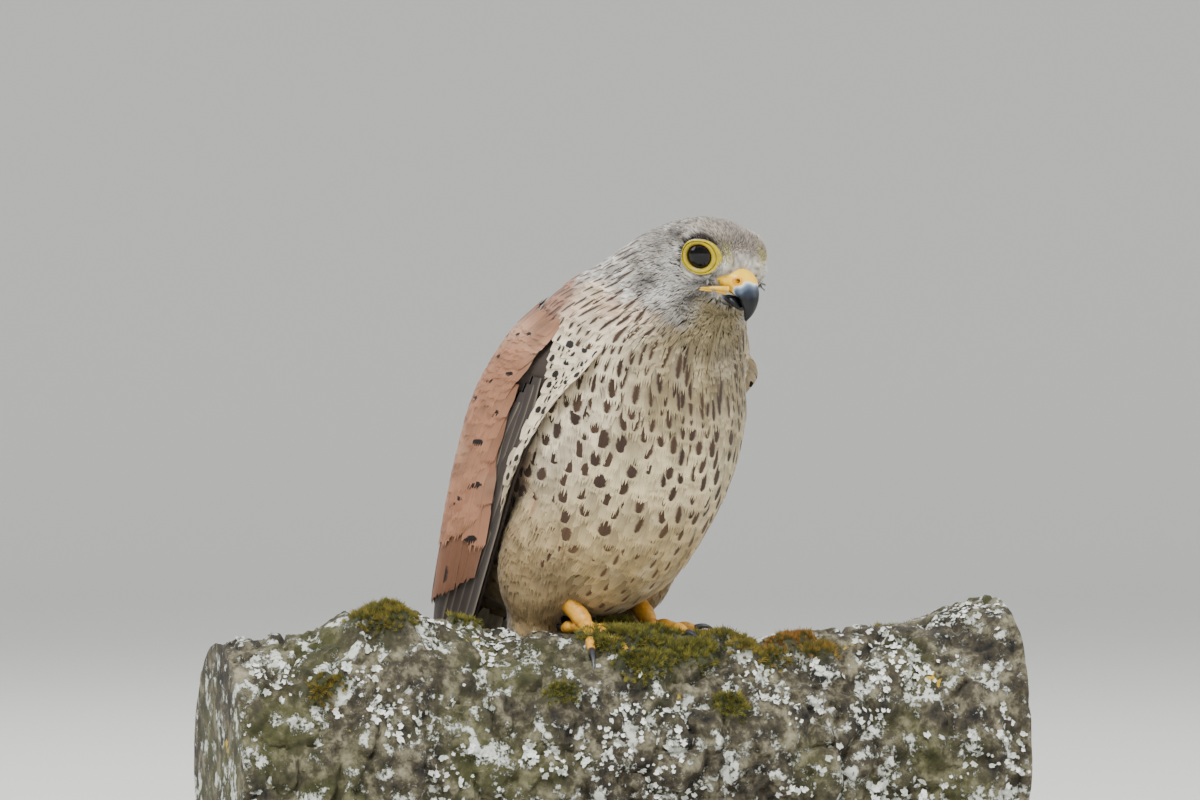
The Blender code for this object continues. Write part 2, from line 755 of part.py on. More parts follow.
def add_foot(name, sign, looks, parts, cutters):
    """A foot: the bare shank below the thigh and its toes, with a claw on each."""
    shank = [Vector((sign * x, y, z)) for x, y, z in SHANK]
    ankle = toe_point(sign, 0, 0, ANKLE_LIFT)
    foot = add("foot_" + name, tube(shank + [ankle], SHANK_RADII + [ANKLE_RADIUS], 10), looks["foot"], parts)
    toes = [add("toe", tube(*toe_line(sign, toe), 8), None, cutters) for toe in TOES]
    apply_boolean(foot, toes, "UNION")
    clear = [add("thigh_cutter", thigh_mesh(sign, GAP), None, cutters)]
    clear.append(add("torso_cutter", body_mesh(GAP), None, cutters))
    apply_boolean(foot, clear, "DIFFERENCE")
    for toe in TOES:
        add("claw_" + name + "_" + toe, claw_mesh(sign, toe), looks["claw"], parts)


def bill_mesh(rows, grow=0.0):
    """Half of the bill as a closed form along its curved middle line."""
    rows = catmull(rows, np.linspace(0, len(rows) - 1, 2 * len(rows) - 1))
    rings = []
    for i, (ahead, up, high, wide) in enumerate(rows):
        step = rows[min(i + 1, len(rows) - 1)] - rows[max(i - 1, 0)]
        along = Vector((step[0], step[1])).normalized()
        ring = []
        for k in range(12):
            angle = math.tau * k / 12
            over = (high + grow) * math.cos(angle)
            side = (wide + grow) * math.sin(angle)
            ring.append(head_point(ahead - along.y * over, up + along.x * over, side))
        rings.append(ring)
    return loft(rings)


def ball(centre, radius, segments=14, rings=8):
    """A closed sphere."""
    mesh = bmesh.new()
    bmesh.ops.create_uvsphere(mesh, u_segments=segments, v_segments=rings, radius=radius)
    bmesh.ops.translate(mesh, vec=centre, verts=mesh.verts)
    return mesh


def head_axis(start, end, radius, sides=10):
    """A straight tube between two points of the head's frame."""
    a = head_point(*start)
    b = head_point(*end)
    return tube([a, (a + b) / 2, b], [radius] * 3, sides)


def lid_mesh(sign):
    """The bare ring of skin round an eye."""
    rings = []
    for i in range(LID_STEPS):
        turn = math.tau * i / LID_STEPS
        ring = []
        for k in range(LID_SIDES):
            angle = math.tau * k / LID_SIDES
            reach = LID_RADIUS + LID_THICKNESS * math.cos(angle)
            out = LID_OUT + LID_THICKNESS * math.sin(angle)
            ring.append(eye_point(sign, reach * LID_LONGER * math.cos(turn), reach * math.sin(turn), out))
        rings.append(ring)
    mesh = bmesh.new()
    grid = [[mesh.verts.new(point) for point in ring] for ring in rings]
    for i in range(LID_STEPS):
        lower = grid[i]
        upper = grid[(i + 1) % LID_STEPS]
        for k in range(LID_SIDES):
            j = (k + 1) % LID_SIDES
            mesh.faces.new((lower[k], lower[j], upper[j], upper[k]))
    bmesh.ops.recalc_face_normals(mesh, faces=mesh.faces)
    return mesh


def add_head(looks, parts, cutters):
    """The head with its lids, brows, lips and mouth line, the eyes and the bill."""
    head = add("head", part_body(body_mesh(), lower=HEAD_CUT), looks["head"], parts)
    bowls = []
    for sign in (-1, 1):
        bowls.append(add("bowl", ball(eye_point(sign, 0, 0, BOWL_OUT), BOWL_RADIUS), None, cutters))
    apply_boolean(head, bowls, "DIFFERENCE")
    raised = []
    for sign in (-1, 1):
        raised.append(add("lid", lid_mesh(sign), None, cutters))
        brow = [eye_point(sign, *place) for place in BROW]
        lip = [head_point(ahead, up, sign * side) for ahead, up, side in GAPE]
        for path, radii in ((brow, BROW_RADII), (lip, [LIP_RADIUS] * len(lip))):
            places = np.linspace(0, len(path) - 1, 5)
            points = [Vector(point) for point in catmull([tuple(point) for point in path], places)]
            sizes = catmull([[radius] for radius in radii], places)[:, 0]
            raised.append(add("ridge", tube(points, sizes, 6), None, cutters))
    apply_boolean(head, raised, "UNION")
    hollows = []
    for name, sign in (("right", 1), ("left", -1)):
        centre = eye_point(sign, 0, 0, 0)
        hollows.append(add("socket", ball(centre, EYE_RADIUS + GAP), None, cutters))
        line = [head_point(ahead, up, sign * (side + LIP_RADIUS)) for ahead, up, side in GAPE]
        hollows.append(add("mouth", tube(line, [MOUTH_RADIUS] * len(line), 6), None, cutters))
        add("eye_" + name, ball(centre, EYE_RADIUS), looks["eye"], parts)
    hollows.append(add("upper", bill_mesh(BILL_UPPER, GAP), None, cutters))
    hollows.append(add("lower", bill_mesh(BILL_LOWER, GAP), None, cutters))
    apply_boolean(head, hollows, "DIFFERENCE")
    upper = add("bill_upper", bill_mesh(BILL_UPPER), looks["bill"], parts)
    nostrils = []
    for sign in (-1, 1):
        start = (*NOSTRIL_AT, sign * NOSTRIL_FLOOR)
        end = (*NOSTRIL_AT, sign * 9)
        nostrils.append(add("nostril", head_axis(start, end, NOSTRIL_RADIUS), None, cutters))
    apply_boolean(upper, nostrils, "DIFFERENCE")
    lower = add("bill_lower", bill_mesh(BILL_LOWER), looks["bill"], parts)
    clear = add("upper", bill_mesh(BILL_UPPER, GAP), None, cutters)
    apply_boolean(lower, [clear], "DIFFERENCE")


def make_stand(parts, looks):
    """The flat base and the two rods up to the branch."""
    base = bmesh.new()
    bmesh.ops.create_cube(base, size=1)
    bmesh.ops.scale(base, vec=(BASE_LENGTH, BASE_WIDTH, BASE_THICKNESS), verts=base.verts)
    upright = [edge for edge in base.edges if abs(edge.verts[0].co.z - edge.verts[1].co.z) > 1]
    bmesh.ops.bevel(
        base,
        geom=upright,
        offset=BASE_CORNER,
        segments=BASE_CORNER_STEPS,
        affect="EDGES",
        profile=0.5,
    )
    top = [edge for edge in base.edges if all(vert.co.z > 0 for vert in edge.verts)]
    bmesh.ops.bevel(base, geom=top, offset=BASE_BEVEL, segments=2, affect="EDGES", profile=0.5)
    middle = Vector((0, 0, BASE_THICKNESS / 2)) - Vector(FEET)
    bmesh.ops.translate(base, vec=middle, verts=base.verts)
    add("stand_base", base, looks["stand"], parts)
    for name, side in (("stand_rod_left", 1), ("stand_rod_right", -1)):
        x, y = perch_frame(side * ROD_SPACING / 2, 0)
        radius = perch_radius(side * ROD_SPACING / 2, math.pi)
        bottom = BASE_THICKNESS - PERCH_TOP + GAP
        top = -PERCH_RADIUS - radius - GAP
        rod = tube([(x, y, bottom), (x, y, top)], [ROD_RADIUS] * 2, ROD_SIDES)
        add(name, rod, looks["rod"], parts)


def main():
    for old in list(bpy.data.objects):
        bpy.data.objects.remove(old, do_unlink=True)
    parts = bpy.data.collections.new("common_kestrel")
    cutters = bpy.data.collections.new("cutters")
    bpy.context.scene.collection.children.link(parts)
    bpy.context.scene.collection.children.link(cutters)
    looks = {
        "head": material("grey_head_feathers", (0.62, 0.6, 0.59), 0.9),
        "breast": material("cream_spotted_feathers", (0.8, 0.7, 0.58), 0.9),
        "wing": material("chestnut_feathers", (0.72, 0.51, 0.42), 0.85),
        "tail": material("blue_grey_tail_feathers", (0.58, 0.58, 0.6), 0.8),
        "eye": material("dark_wet_eye", (0.06, 0.04, 0.03), 0.05),
        "bill": material("slate_horn_bill", (0.4, 0.44, 0.5), 0.35),
        "foot": material("yellow_scaled_skin", (0.85, 0.63, 0.28), 0.5),
        "claw": material("black_horn_claw", (0.13, 0.13, 0.15), 0.35),
        "bark": material("mossy_bark", (0.42, 0.38, 0.3), 0.95),
        "stand": material("stained_wood_base", (0.24, 0.17, 0.12), 0.45),
        "rod": material("dark_steel_rod", (0.35, 0.35, 0.36), 0.35, 1.0),
    }
    add("torso", part_body(body_mesh(), upper=NECK_CUT), looks["breast"], parts)
    add("neck", part_body(body_mesh(), lower=NECK_CUT, upper=HEAD_CUT), looks["head"], parts)
    add_head(looks, parts, cutters)
    add_tail(looks, parts, cutters)
    for name, sign in (("left", 1), ("right", -1)):
        thigh = add("thigh_" + name, thigh_mesh(sign), looks["breast"], parts)
        torso_cut = add("torso_cutter", body_mesh(GAP), None, cutters)
        apply_boolean(thigh, [torso_cut], "DIFFERENCE")
        add_wing(name, sign, looks, parts, cutters)
        add_foot(name, sign, looks, parts, cutters)
    add("perch_branch", perch_mesh(), looks["bark"], parts)
    make_stand(parts, looks)


main()
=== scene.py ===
"""The looks of a common kestrel mounted on a cut length of branch, with its stand.

Sizes are in millimetres in the feet's frame, as in the part's own source, and become
metres as a mesh is made. The bird faces -Y, with its right side at -X and +Z up.
"""

import math

import bmesh
import bpy
import numpy as np
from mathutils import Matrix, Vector, kdtree


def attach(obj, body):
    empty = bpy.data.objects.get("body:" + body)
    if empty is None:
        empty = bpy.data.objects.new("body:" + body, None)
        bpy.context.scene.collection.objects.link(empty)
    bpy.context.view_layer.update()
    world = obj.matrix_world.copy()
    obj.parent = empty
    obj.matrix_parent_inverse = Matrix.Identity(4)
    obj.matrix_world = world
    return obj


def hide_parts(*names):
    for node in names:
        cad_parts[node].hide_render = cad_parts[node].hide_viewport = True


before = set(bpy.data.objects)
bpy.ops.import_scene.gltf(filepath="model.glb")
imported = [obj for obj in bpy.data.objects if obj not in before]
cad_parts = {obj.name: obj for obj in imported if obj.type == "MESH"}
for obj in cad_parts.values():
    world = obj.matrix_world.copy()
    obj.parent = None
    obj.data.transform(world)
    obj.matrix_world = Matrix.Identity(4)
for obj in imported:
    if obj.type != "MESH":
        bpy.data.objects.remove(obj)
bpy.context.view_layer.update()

MM = 0.001

# The stand and the branch. The base and the room under the tail's tip set how high the
# branch lies.
BASE_THICKNESS = 16
TAIL_CLEARANCE = 9
TAIL_THICK = 3
PERCH_RADIUS = 46
PERCH_LENGTH = 300
PERCH_TURN = -27
PERCH_AHEAD = 5
PERCH_CALM = 75
PERCH_SWELLS = (2.2, 1.4, 0.8)
TAIL_ROOT = (57, 12)
TAIL_FALL = 62.5
TAIL_LENGTH = 152
TAIL_DROP = TAIL_LENGTH * math.sin(math.radians(TAIL_FALL)) - TAIL_ROOT[1] + TAIL_THICK
PERCH_TOP = BASE_THICKNESS + TAIL_CLEARANCE + TAIL_DROP
FEET = np.array([0.0, -14.0, PERCH_TOP])

# The body's sections from tail root to bill: the back's point (Y, Z), the front's and
# the half width. The first one continues the body under the tail's coverts.
SECTIONS = [
    ((76, -4), (56, -10), 15),
    ((67, 18), (46, 6), 18),
    ((58, 31), (26, 4), 25),
    ((50, 44), (-2, 5), 31),
    ((43, 58), (-29, 20), 35.5),
    ((37, 77), (-50, 46), 39.5),
    ((32, 97), (-59.5, 72), 42.5),
    ((27, 112), (-60.5, 92), 41),
    ((18.5, 126), (-62, 104), 36.5),
    ((7.5, 134.5), (-65, 111), 30),
    ((-4, 139), (-68, 116), 26),
    ((-18, 145.5), (-69, 119), 22.8),
    ((-32, 152), (-70, 120.5), 20.8),
    ((-47, 155.2), (-70.5, 121.5), 19.8),
    ((-60, 154.8), (-71, 121.5), 18.6),
    ((-69.2, 151), (-71.2, 120.6), 17.4),
    ((-73.4, 146), (-71.6, 121), 12.2),
    ((-74.8, 139.8), (-72.4, 126.4), 5.8),
]
LAST_FLOW = len(SECTIONS) - 1
HEAD_AT = (0, -64.7, 139)
HEAD_PITCH = 39
HEAD_LEAN = 5
HEAD_TURN = 2
TURN_FLOW = (5, 9)
NECK_PIVOT = (0, -55)
EYE_AT = (-2.8, 0, 10.5)
EYE_LOOK = 58
EYE_RADIUS = 7.0

# How far the face's plane is tilted on the head, and the eye's opening as width to height.
FACE_TILT = 39
EYE_WIDER = 1.04

# The coat's parts: how far from the head's middle the face and the head's own feathers
# reach, where the vent starts behind and the heights that part breast, flanks and belly.
FACE_REACH = 26
HEAD_COAT_REACH = 34
VENT_BEHIND = 25
BREAST_FROM = 98
FLANKS_FROM = 62
SKIN_DEPTH = 2.7
QUILL_THICK = 0.4

# The size of a feather's own patch on the map that finishes are baked to.
BAKED_PATCH = 0.003

# The bird's sides as the head's frame counts them.
SIDES = (("right", 1), ("left", -1))

# The folded wing's rows from shoulder to tip: its front edge, outer side and inner edge.
WING_ROWS = [
    ((32, -30, 113), (36, -2, 123), (14, 18, 128)),
    ((43.5, -26, 100), (47, 6, 108), (17, 29, 115)),
    ((45.5, -12, 87), (48, 22, 90), (14, 38, 97)),
    ((45, 6, 65), (48, 33, 66), (12, 45, 72)),
    ((44.5, 17, 42), (46.5, 42, 42), (6, 56, 48)),
    ((40, 33, 16), (41.5, 54, 16), (4, 72, 24)),
    ((36, 46, -5), (35.5, 63.5, -5), (4, 78, -1)),
    ((29, 70, -40), (25, 87, -37), (4, 92, -35)),
    ((21, 111, -86.5), (13, 113.3, -85), (4, 113.8, -84.6)),
]

THIGH = [(23, 0, 52), (25, 3, 41), (24.5, 9, 30), (23, 14, 18), (21, 18, 8)]
THIGH_RADII = [9, 15.5, 16.5, 15, 10.5]

# The thigh's coat, which starts further up inside the flank so that it grows out of it.
THIGH_COAT = [(19.5, -5, 68), (22, -1.5, 55), (24.2, 3, 42), (24.5, 9, 30), (23, 14, 18), (21, 18, 8)]
THIGH_COAT_RADII = [12, 15, 16.5, 16.5, 15, 10.5]

LEG_SPREAD = 16
ANKLE_BACK = -6
SHANK = [(19, 13, 24), (18, 7, 15), (16.5, -3, 6.5)]
SHANK_RADII = [3.0, 2.9, 3.4]
TOES = {
    "inner": (-38, 15, 2.5),
    "middle": (-2, 21, 2.6),
    "outer": (36, 17, 2.3),
    "hind": (176, 12, 2.7),
}
TOE_LIFT = 0.45
CLAW_LENGTH = 10

BILL_UPPER = [
    (7.8, -3.2, 3.6, 10.0),
    (9.6, -2.3, 4.6, 8.2),
    (11.6, -1.6, 4.8, 6.5),
    (14.8, -1.9, 4.4, 5.4),
    (17.8, -3.0, 3.6, 4.3),
    (20.2, -5.1, 2.8, 3.1),
    (21.8, -7.8, 1.8, 1.8),
    (22.6, -10.8, 0.4, 0.4),
]
BILL_LOWER = [(6, -8.6, 2.6, 6.2), (10.5, -8.3, 2.4, 5.4), (14.8, -8.3, 2.0, 4.1), (18.4, -8.6, 0.9, 2.1)]
NOSTRIL_AT = (13.6, 0.1)

GAPE = [(13.2, -5.4, 5.6), (11.4, -6.4, 8.6), (7.4, -9.4, 12.8)]

# The bare ring round an eye as a closed profile: how far from the eye's axis, how far
# out, and how much the outer fold's width moves the point.
RING_PROFILE = [
    (4.15, 4.9, 0),
    (4.45, 5.55, 0),
    (4.8, 5.98, 0),
    (5.3, 6.35, 0),
    (5.8, 6.4, 0),
    (6.15, 6.2, 0.1),
    (6.32, 5.98, 0.2),
    (6.5, 6.22, 0.3),
    (6.9, 6.62, 0.6),
    (7.3, 6.7, 0.85),
    (7.7, 6.4, 1.0),
    (7.9, 5.6, 1.0),
    (7.0, 4.6, 0.6),
    (5.4, 4.2, 0.2),
]

# How dark the ring is at some of its profile's points: painted shade in the recess at its inner rim beside
# the eye, in its groove and under its outer fold's edge.
RING_SHADES = {0: 1.0, 1: 0.9, 2: 0.3, 6: 0.75, 11: 0.8, 12: 1.0}


def linear(code):
    """An sRGB hex colour as the three linear values that Blender's sockets take."""
    channels = [int(code[i : i + 2], 16) / 255 for i in (1, 3, 5)]
    return np.array([c / 12.92 if c <= 0.04045 else ((c + 0.055) / 1.055) ** 2.4 for c in channels])


def blend(base, colour, share):
    """Mixes rows of colours toward one colour by each row's share."""
    share = np.asarray(share)[..., None]
    return base * (1 - share) + np.asarray(colour) * share


def paint(base, *coats):
    """A base colour under coats, each a colour and its share at every point, in order."""
    colour = linear(base)
    for code, share in coats:
        colour = blend(colour, linear(code), share)
    return colour


def smoothstep(low, high, value):
    """A soft step from 0 at low to 1 at high."""
    share = np.clip((np.asarray(value, dtype=float) - low) / (high - low), 0, 1)
    return share * share * (3 - 2 * share)


def bell(value, middle, width):
    """A soft bell that is 1 at the middle."""
    return np.exp(-(((value - middle) / width) ** 2))


def catmull(points, at):
    """The smooth curve through equal rows of numbers, read at each place in at."""
    points = np.asarray(points, dtype=float)
    at = np.atleast_1d(np.asarray(at, dtype=float))
    last = len(points) - 1
    first = np.clip(np.floor(at).astype(int), 0, last - 1)
    shape = (-1,) + (1,) * (points.ndim - 1)
    f = (at - first).reshape(shape)
    padded = np.concatenate([[2 * points[0] - points[1]], points, [2 * points[-1] - points[-2]]])
    p0, p1, p2, p3 = (padded[first + k] for k in range(4))
    bend = (2 * p0 - 5 * p1 + 4 * p2 - p3) * f * f + (3 * p1 - p0 - 3 * p2 + p3) * f**3
    return p1 + 0.5 * ((p2 - p0) * f + bend)


class Noise:
    """Smooth seeded noise on points, from -1 to 1, made of trilinear lattice values."""

    SIZE = 32

    def __init__(self, seed):
        self.values = np.random.default_rng(seed).uniform(-1, 1, (self.SIZE,) * 3)

    def at(self, points, period):
        spot = np.asarray(points, dtype=float) / period
        cell = np.floor(spot).astype(int)
        f = spot - cell
        f = f * f * (3 - 2 * f)
        total = 0
        for corner in range(8):
            step = np.array([corner & 1, corner >> 1 & 1, corner >> 2 & 1])
            index = (cell + step) % self.SIZE
            weight = np.prod(np.where(step, f, 1 - f), axis=-1)
            total = total + weight * self.values[index[..., 0], index[..., 1], index[..., 2]]
        return total

    def fractal(self, points, period, octaves):
        total = 0
        share = 1.0
        for octave in range(octaves):
            total = total + share * self.at(np.asarray(points) + 17.3 * octave, period / 2**octave)
            share /= 2
        return total


class Surface:
    """A smooth surface read from a grid of points, whose rows follow the plumage's lie."""

    def __init__(self, flows, sides, points, wrap, outward=None):
        self.flows = flows
        self.sides = sides
        self.points = points
        self.wrap = wrap
        along = np.gradient(points, axis=0)
        if wrap:
            across = (np.roll(points, -1, axis=1) - np.roll(points, 1, axis=1)) / 2
        else:
            across = np.gradient(points, axis=1)
        normals = np.cross(along, across)
        if outward is None:
            outward = points - points.mean(axis=1, keepdims=True)
        self.turned = float(np.sign(np.sum(normals * outward)))
        self.normals = self.turned * normals / np.linalg.norm(normals, axis=2, keepdims=True)
        self.flow_scale = np.linalg.norm(along, axis=2) / (flows[1] - flows[0])
        self.side_scale = np.linalg.norm(across, axis=2) / (sides[1] - sides[0])

    def read(self, grid, flow, side):
        rows, columns = grid.shape[:2]
        x = np.clip((flow - self.flows[0]) / (self.flows[1] - self.flows[0]), 0, rows - 1.001)
        y = (side - self.sides[0]) / (self.sides[1] - self.sides[0])
        if not self.wrap:
            y = np.clip(y, 0, columns - 1.001)
        i = np.floor(x).astype(int)
        j = np.floor(y).astype(int)
        fx = x - i
        fy = y - j
        if grid.ndim == 3:
            fx = fx[..., None]
            fy = fy[..., None]
        j0 = j % columns
        j1 = (j + 1) % columns
        near = grid[i, j0] * (1 - fy) + grid[i, j1] * fy
        far = grid[i + 1, j0] * (1 - fy) + grid[i + 1, j1] * fy
        return near * (1 - fx) + far * fx

    def place(self, flow, side):
        return self.read(self.points, flow, side)

    def normal(self, flow, side):
        normal = self.read(self.normals, flow, side)
        return normal / np.linalg.norm(normal, axis=-1, keepdims=True)

    def side_length(self, flow, side):
        return self.read(self.side_scale, flow, side)

    def flow_length(self, flow, side):
        return self.read(self.flow_scale, flow, side)


def turn_about_neck(points, share, back=False):
    """Turns points about the neck by their share of the head's turn."""
    angle = math.radians(HEAD_TURN) * share * (-1 if back else 1)
    x = points[..., 0] - NECK_PIVOT[0]
    y = points[..., 1] - NECK_PIVOT[1]
    turned_x = x * np.cos(angle) - y * np.sin(angle) + NECK_PIVOT[0]
    turned_y = x * np.sin(angle) + y * np.cos(angle) + NECK_PIVOT[1]
    return np.stack([turned_x, turned_y, points[..., 2]], axis=-1)


def head_frame(points):
    """Each point as seen from the head: ahead of, above and to the right of the eyes."""
    still = turn_about_neck(points, 1.0, back=True)
    pitch = math.radians(HEAD_PITCH)
    lean = math.radians(HEAD_LEAN)
    y = still[..., 1] - HEAD_AT[1]
    z = still[..., 2] - HEAD_AT[2]
    ahead = -y * math.cos(pitch) - z * math.sin(pitch)
    over = -y * math.sin(pitch) + z * math.cos(pitch)
    across = HEAD_AT[0] - still[..., 0]
    up = over * math.cos(lean) - across * math.sin(lean)
    side = over * math.sin(lean) + across * math.cos(lean)
    return np.stack([ahead, up, side], axis=-1)


def head_point(ahead, up, side):
    """Points given in the head's frame, in the feet's frame."""
    pitch = math.radians(HEAD_PITCH)
    lean = math.radians(HEAD_LEAN)
    ahead, up, side = np.broadcast_arrays(*[np.asarray(v, dtype=float) for v in (ahead, up, side)])
    across = side * math.cos(lean) - up * math.sin(lean)
    over = side * math.sin(lean) + up * math.cos(lean)
    y = HEAD_AT[1] - ahead * math.cos(pitch) - over * math.sin(pitch)
    z = HEAD_AT[2] - ahead * math.sin(pitch) + over * math.cos(pitch)
    return turn_about_neck(np.stack([HEAD_AT[0] - across, y, z], axis=-1), 1.0)


def eye_point(sign, front, up, out):
    """Points in the frame of the right (1) or left (-1) eye, out along the way it looks."""
    look = math.radians(EYE_LOOK)
    ahead = EYE_AT[0] + front * math.sin(look) + out * math.cos(look)
    side = EYE_AT[2] - front * math.cos(look) + out * math.sin(look)
    return head_point(ahead, EYE_AT[1] + up, sign * side)


def eye_frame(seen):
    """Points of the head's frame as the nearer eye has them: front, up and out."""
    look = math.radians(EYE_LOOK)
    ahead = seen[..., 0] - EYE_AT[0]
    side = np.abs(seen[..., 2]) - EYE_AT[2]
    front = ahead * math.sin(look) - side * math.cos(look)
    out = ahead * math.cos(look) + side * math.sin(look)
    return front, seen[..., 1] - EYE_AT[1], out


def face_view(seen):
    """Points as a viewer square to the eye sees them: level to the bill's side and up."""
    front, up, out = eye_frame(seen)
    tilt = math.radians(FACE_TILT)
    level = front * math.cos(tilt) + up * math.sin(tilt)
    return level, up * math.cos(tilt) - front * math.sin(tilt), out


def eye_polar(points):
    """Distance of points from the nearer eye's axis, and their angle round it."""
    front, up, _ = eye_frame(head_frame(points))
    return np.hypot(front / EYE_WIDER, up), np.arctan2(up, front)


def body_surface(grow):
    """The feathered body from the bill to the tail's root, with the hollows of the eyes."""
    table = np.array([(*back, *front, half) for back, front, half in SECTIONS])[::-1]
    flows = np.linspace(0, LAST_FLOW, LAST_FLOW * 16 + 1)
    angles = np.linspace(0, math.tau, 200, endpoint=False)
    rows = catmull(table, flows)
    back = rows[:, 0:2]
    front = rows[:, 2:4]
    middle = (back + front) / 2
    reach = back - middle
    length = np.linalg.norm(reach, axis=1, keepdims=True)
    along = reach / length
    side = (rows[:, 4:5] + grow) * np.sin(angles)
    deep = (length + grow) * np.cos(angles)
    y = middle[:, 0:1] + along[:, 0:1] * deep
    z = middle[:, 1:2] + along[:, 1:2] * deep
    share = 1 - smoothstep(*TURN_FLOW, flows)[:, None]
    points = turn_about_neck(np.stack([side, y, z], axis=-1), share)
    made = Surface(flows, angles, points, True)
    seen = head_frame(points)
    front, up, out = eye_frame(seen)
    level, rise, _ = face_view(seen)
    distance = np.hypot(front, up)
    near = smoothstep(3, 8, np.abs(seen[..., 2])) * smoothstep(-4, 2, out)
    over_eye = np.clip(np.sin(np.arctan2(rise, level) + 0.15), 0, 1)
    brow = 1.5 * bell(distance, 9.4, 1.9) * over_eye
    cheek = 0.9 * bell(level, -9, 7) * bell(rise, -10, 6)
    lore = 1.5 * bell(front, 10.5, 4) * bell(up, 3.5, 4)
    trim = 2.4 * smoothstep(6, 10, seen[..., 0]) * smoothstep(2, -2, seen[..., 1])
    raised = points + made.normals * ((brow + cheek + lore) * near - trim)[..., None]
    seen = head_frame(raised)
    front, up, out = eye_frame(seen)
    distance = np.minimum(np.hypot(front / EYE_WIDER, up), 11.9)
    limit = 17.1 + grow * 0.5 - np.sqrt(12**2 - distance**2)
    excess = out - limit
    sunk = np.where(distance < 11.5, 0.5 * (excess + np.sqrt(excess**2 + 0.8)), 0)
    sunk = sunk * smoothstep(3, 7, np.abs(seen[..., 2])) * smoothstep(11.5, 9.5, distance)
    for sign in (1, -1):
        axis = eye_point(sign, 0, 0, 1) - eye_point(sign, 0, 0, 0)
        here = (np.sign(seen[..., 2]) == sign) * sunk
        raised = raised - axis * here[..., None]
    return Surface(flows, angles, raised, True)


def wing_surface(sign):
    """The folded wing's outer face: rows from shoulder to tip, 0 front to 2 inner across."""
    rows = np.array(WING_ROWS, dtype=float)
    flows = np.linspace(0, len(rows) - 1, 8 * 16 + 1)
    sides = np.linspace(-0.3, 2.3, 79)
    lines = catmull(rows, flows)
    points = np.stack([catmull(line, sides) for line in lines])
    points[..., 0] *= sign
    return Surface(flows, sides, points, False, np.array([sign, 0, 0]))


def thigh_surface(sign, grow, rows=THIGH, radii=THIGH_RADII):
    """The feathered thigh from the flank to the heel."""
    flows = np.linspace(0, len(rows) - 1, 65)
    angles = np.linspace(0, math.tau, 64, endpoint=False)
    centres = catmull(rows, flows)
    sizes = catmull(np.array(radii)[:, None], flows) + grow
    heading = np.gradient(centres, axis=0)
    heading /= np.linalg.norm(heading, axis=1, keepdims=True)
    across = np.cross(heading, (1, 0, 0))
    across /= np.linalg.norm(across, axis=1, keepdims=True)
    over = np.cross(across, heading)
    spokes = across[:, None] * np.cos(angles)[None, :, None] + over[:, None] * np.sin(angles)[None, :, None]
    points = centres[:, None] + spokes * sizes[:, None]
    points[..., 0] *= sign
    return Surface(flows, angles, points, True)


def even_tint(code, points):
    """One colour for every point."""
    return np.broadcast_to(linear(code), points.shape)


def tail_place(along, across, over):
    """Points in the tail's frame: down the tail, to the bird's left and out of its back."""
    fall = math.radians(TAIL_FALL)
    along, across, over = np.broadcast_arrays(*[np.asarray(v, dtype=float) for v in (along, across, over)])
    y = TAIL_ROOT[0] + along * math.cos(fall) + over * math.sin(fall)
    z = TAIL_ROOT[1] - along * math.sin(fall) + over * math.cos(fall)
    return np.stack([across, y, z], axis=-1)


def tail_surface(upper):
    """The tail's upper or under side, flat with its edges drooping."""
    flows = np.linspace(0, 1, 65)
    sides = np.linspace(-1.2, 1.2, 49)
    along = TAIL_LENGTH * flows[:, None]
    half = 17 + 4.5 * flows[:, None]
    bulk = (6.5 if upper else 10.5) * (1 - smoothstep(0, 0.3, flows[:, None]))
    over = (1 if upper else -1) * (2.2 + bulk * np.sqrt(np.clip(1 - sides**2 / 1.5, 0, 1)))
    droop = 0.012 * (half * sides) ** 2 * flows[:, None]
    outward = tail_place(0, 0, 1 if upper else -1) - tail_place(0, 0, 0)
    return Surface(flows, sides, tail_place(along, half * sides, over - droop), False, outward)


def mesh_object(name, points, faces, material, layers=(), colours=None, vectors=None, values=None):
    """An object from arrays in millimetres from the feet, with its maps and attributes."""
    mesh = bpy.data.meshes.new(name)
    points = (np.asarray(points, dtype=float) + FEET) * MM
    faces = np.asarray(faces, dtype=np.int32)
    sides = faces.shape[1]
    mesh.vertices.add(len(points))
    mesh.vertices.foreach_set("co", points.astype(np.float32).ravel())
    mesh.loops.add(faces.size)
    mesh.loops.foreach_set("vertex_index", faces.ravel())
    mesh.polygons.add(len(faces))
    mesh.polygons.foreach_set("loop_start", np.arange(0, faces.size, sides, dtype=np.int32))
    mesh.polygons.foreach_set("use_smooth", np.ones(len(faces), dtype=bool))
    for layer, given in layers:
        made = mesh.uv_layers.new(name=layer)
        made.data.foreach_set("uv", np.asarray(given, dtype=np.float32)[faces.ravel()].ravel())
    for attribute, given in (colours or {}).items():
        made = mesh.attributes.new(attribute, "FLOAT_COLOR", "POINT")
        rgba = np.concatenate([given, np.ones((len(given), 1))], axis=1)
        made.data.foreach_set("color", rgba.astype(np.float32).ravel())
    for attribute, given in (vectors or {}).items():
        made = mesh.attributes.new(attribute, "FLOAT_VECTOR", "POINT")
        made.data.foreach_set("vector", np.asarray(given, dtype=np.float32).ravel())
    for attribute, given in (values or {}).items():
        made = mesh.attributes.new(attribute, "FLOAT", "POINT")
        made.data.foreach_set("value", np.asarray(given, dtype=np.float32).ravel())
    mesh.update(calc_edges=True)
    mesh.validate()
    mesh.set_sharp_from_angle(angle=math.radians(50))
    mesh.materials.append(material)
    made = bpy.data.objects.new(name, mesh)
    bpy.context.scene.collection.objects.link(made)
    return made


def finish_piece(piece, slot, *replaced):
    """Lets a piece ride on the model and stand for the nodes it replaces. Its slot is not used."""
    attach(piece, "root")
    if replaced:
        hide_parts(*replaced)
    return piece


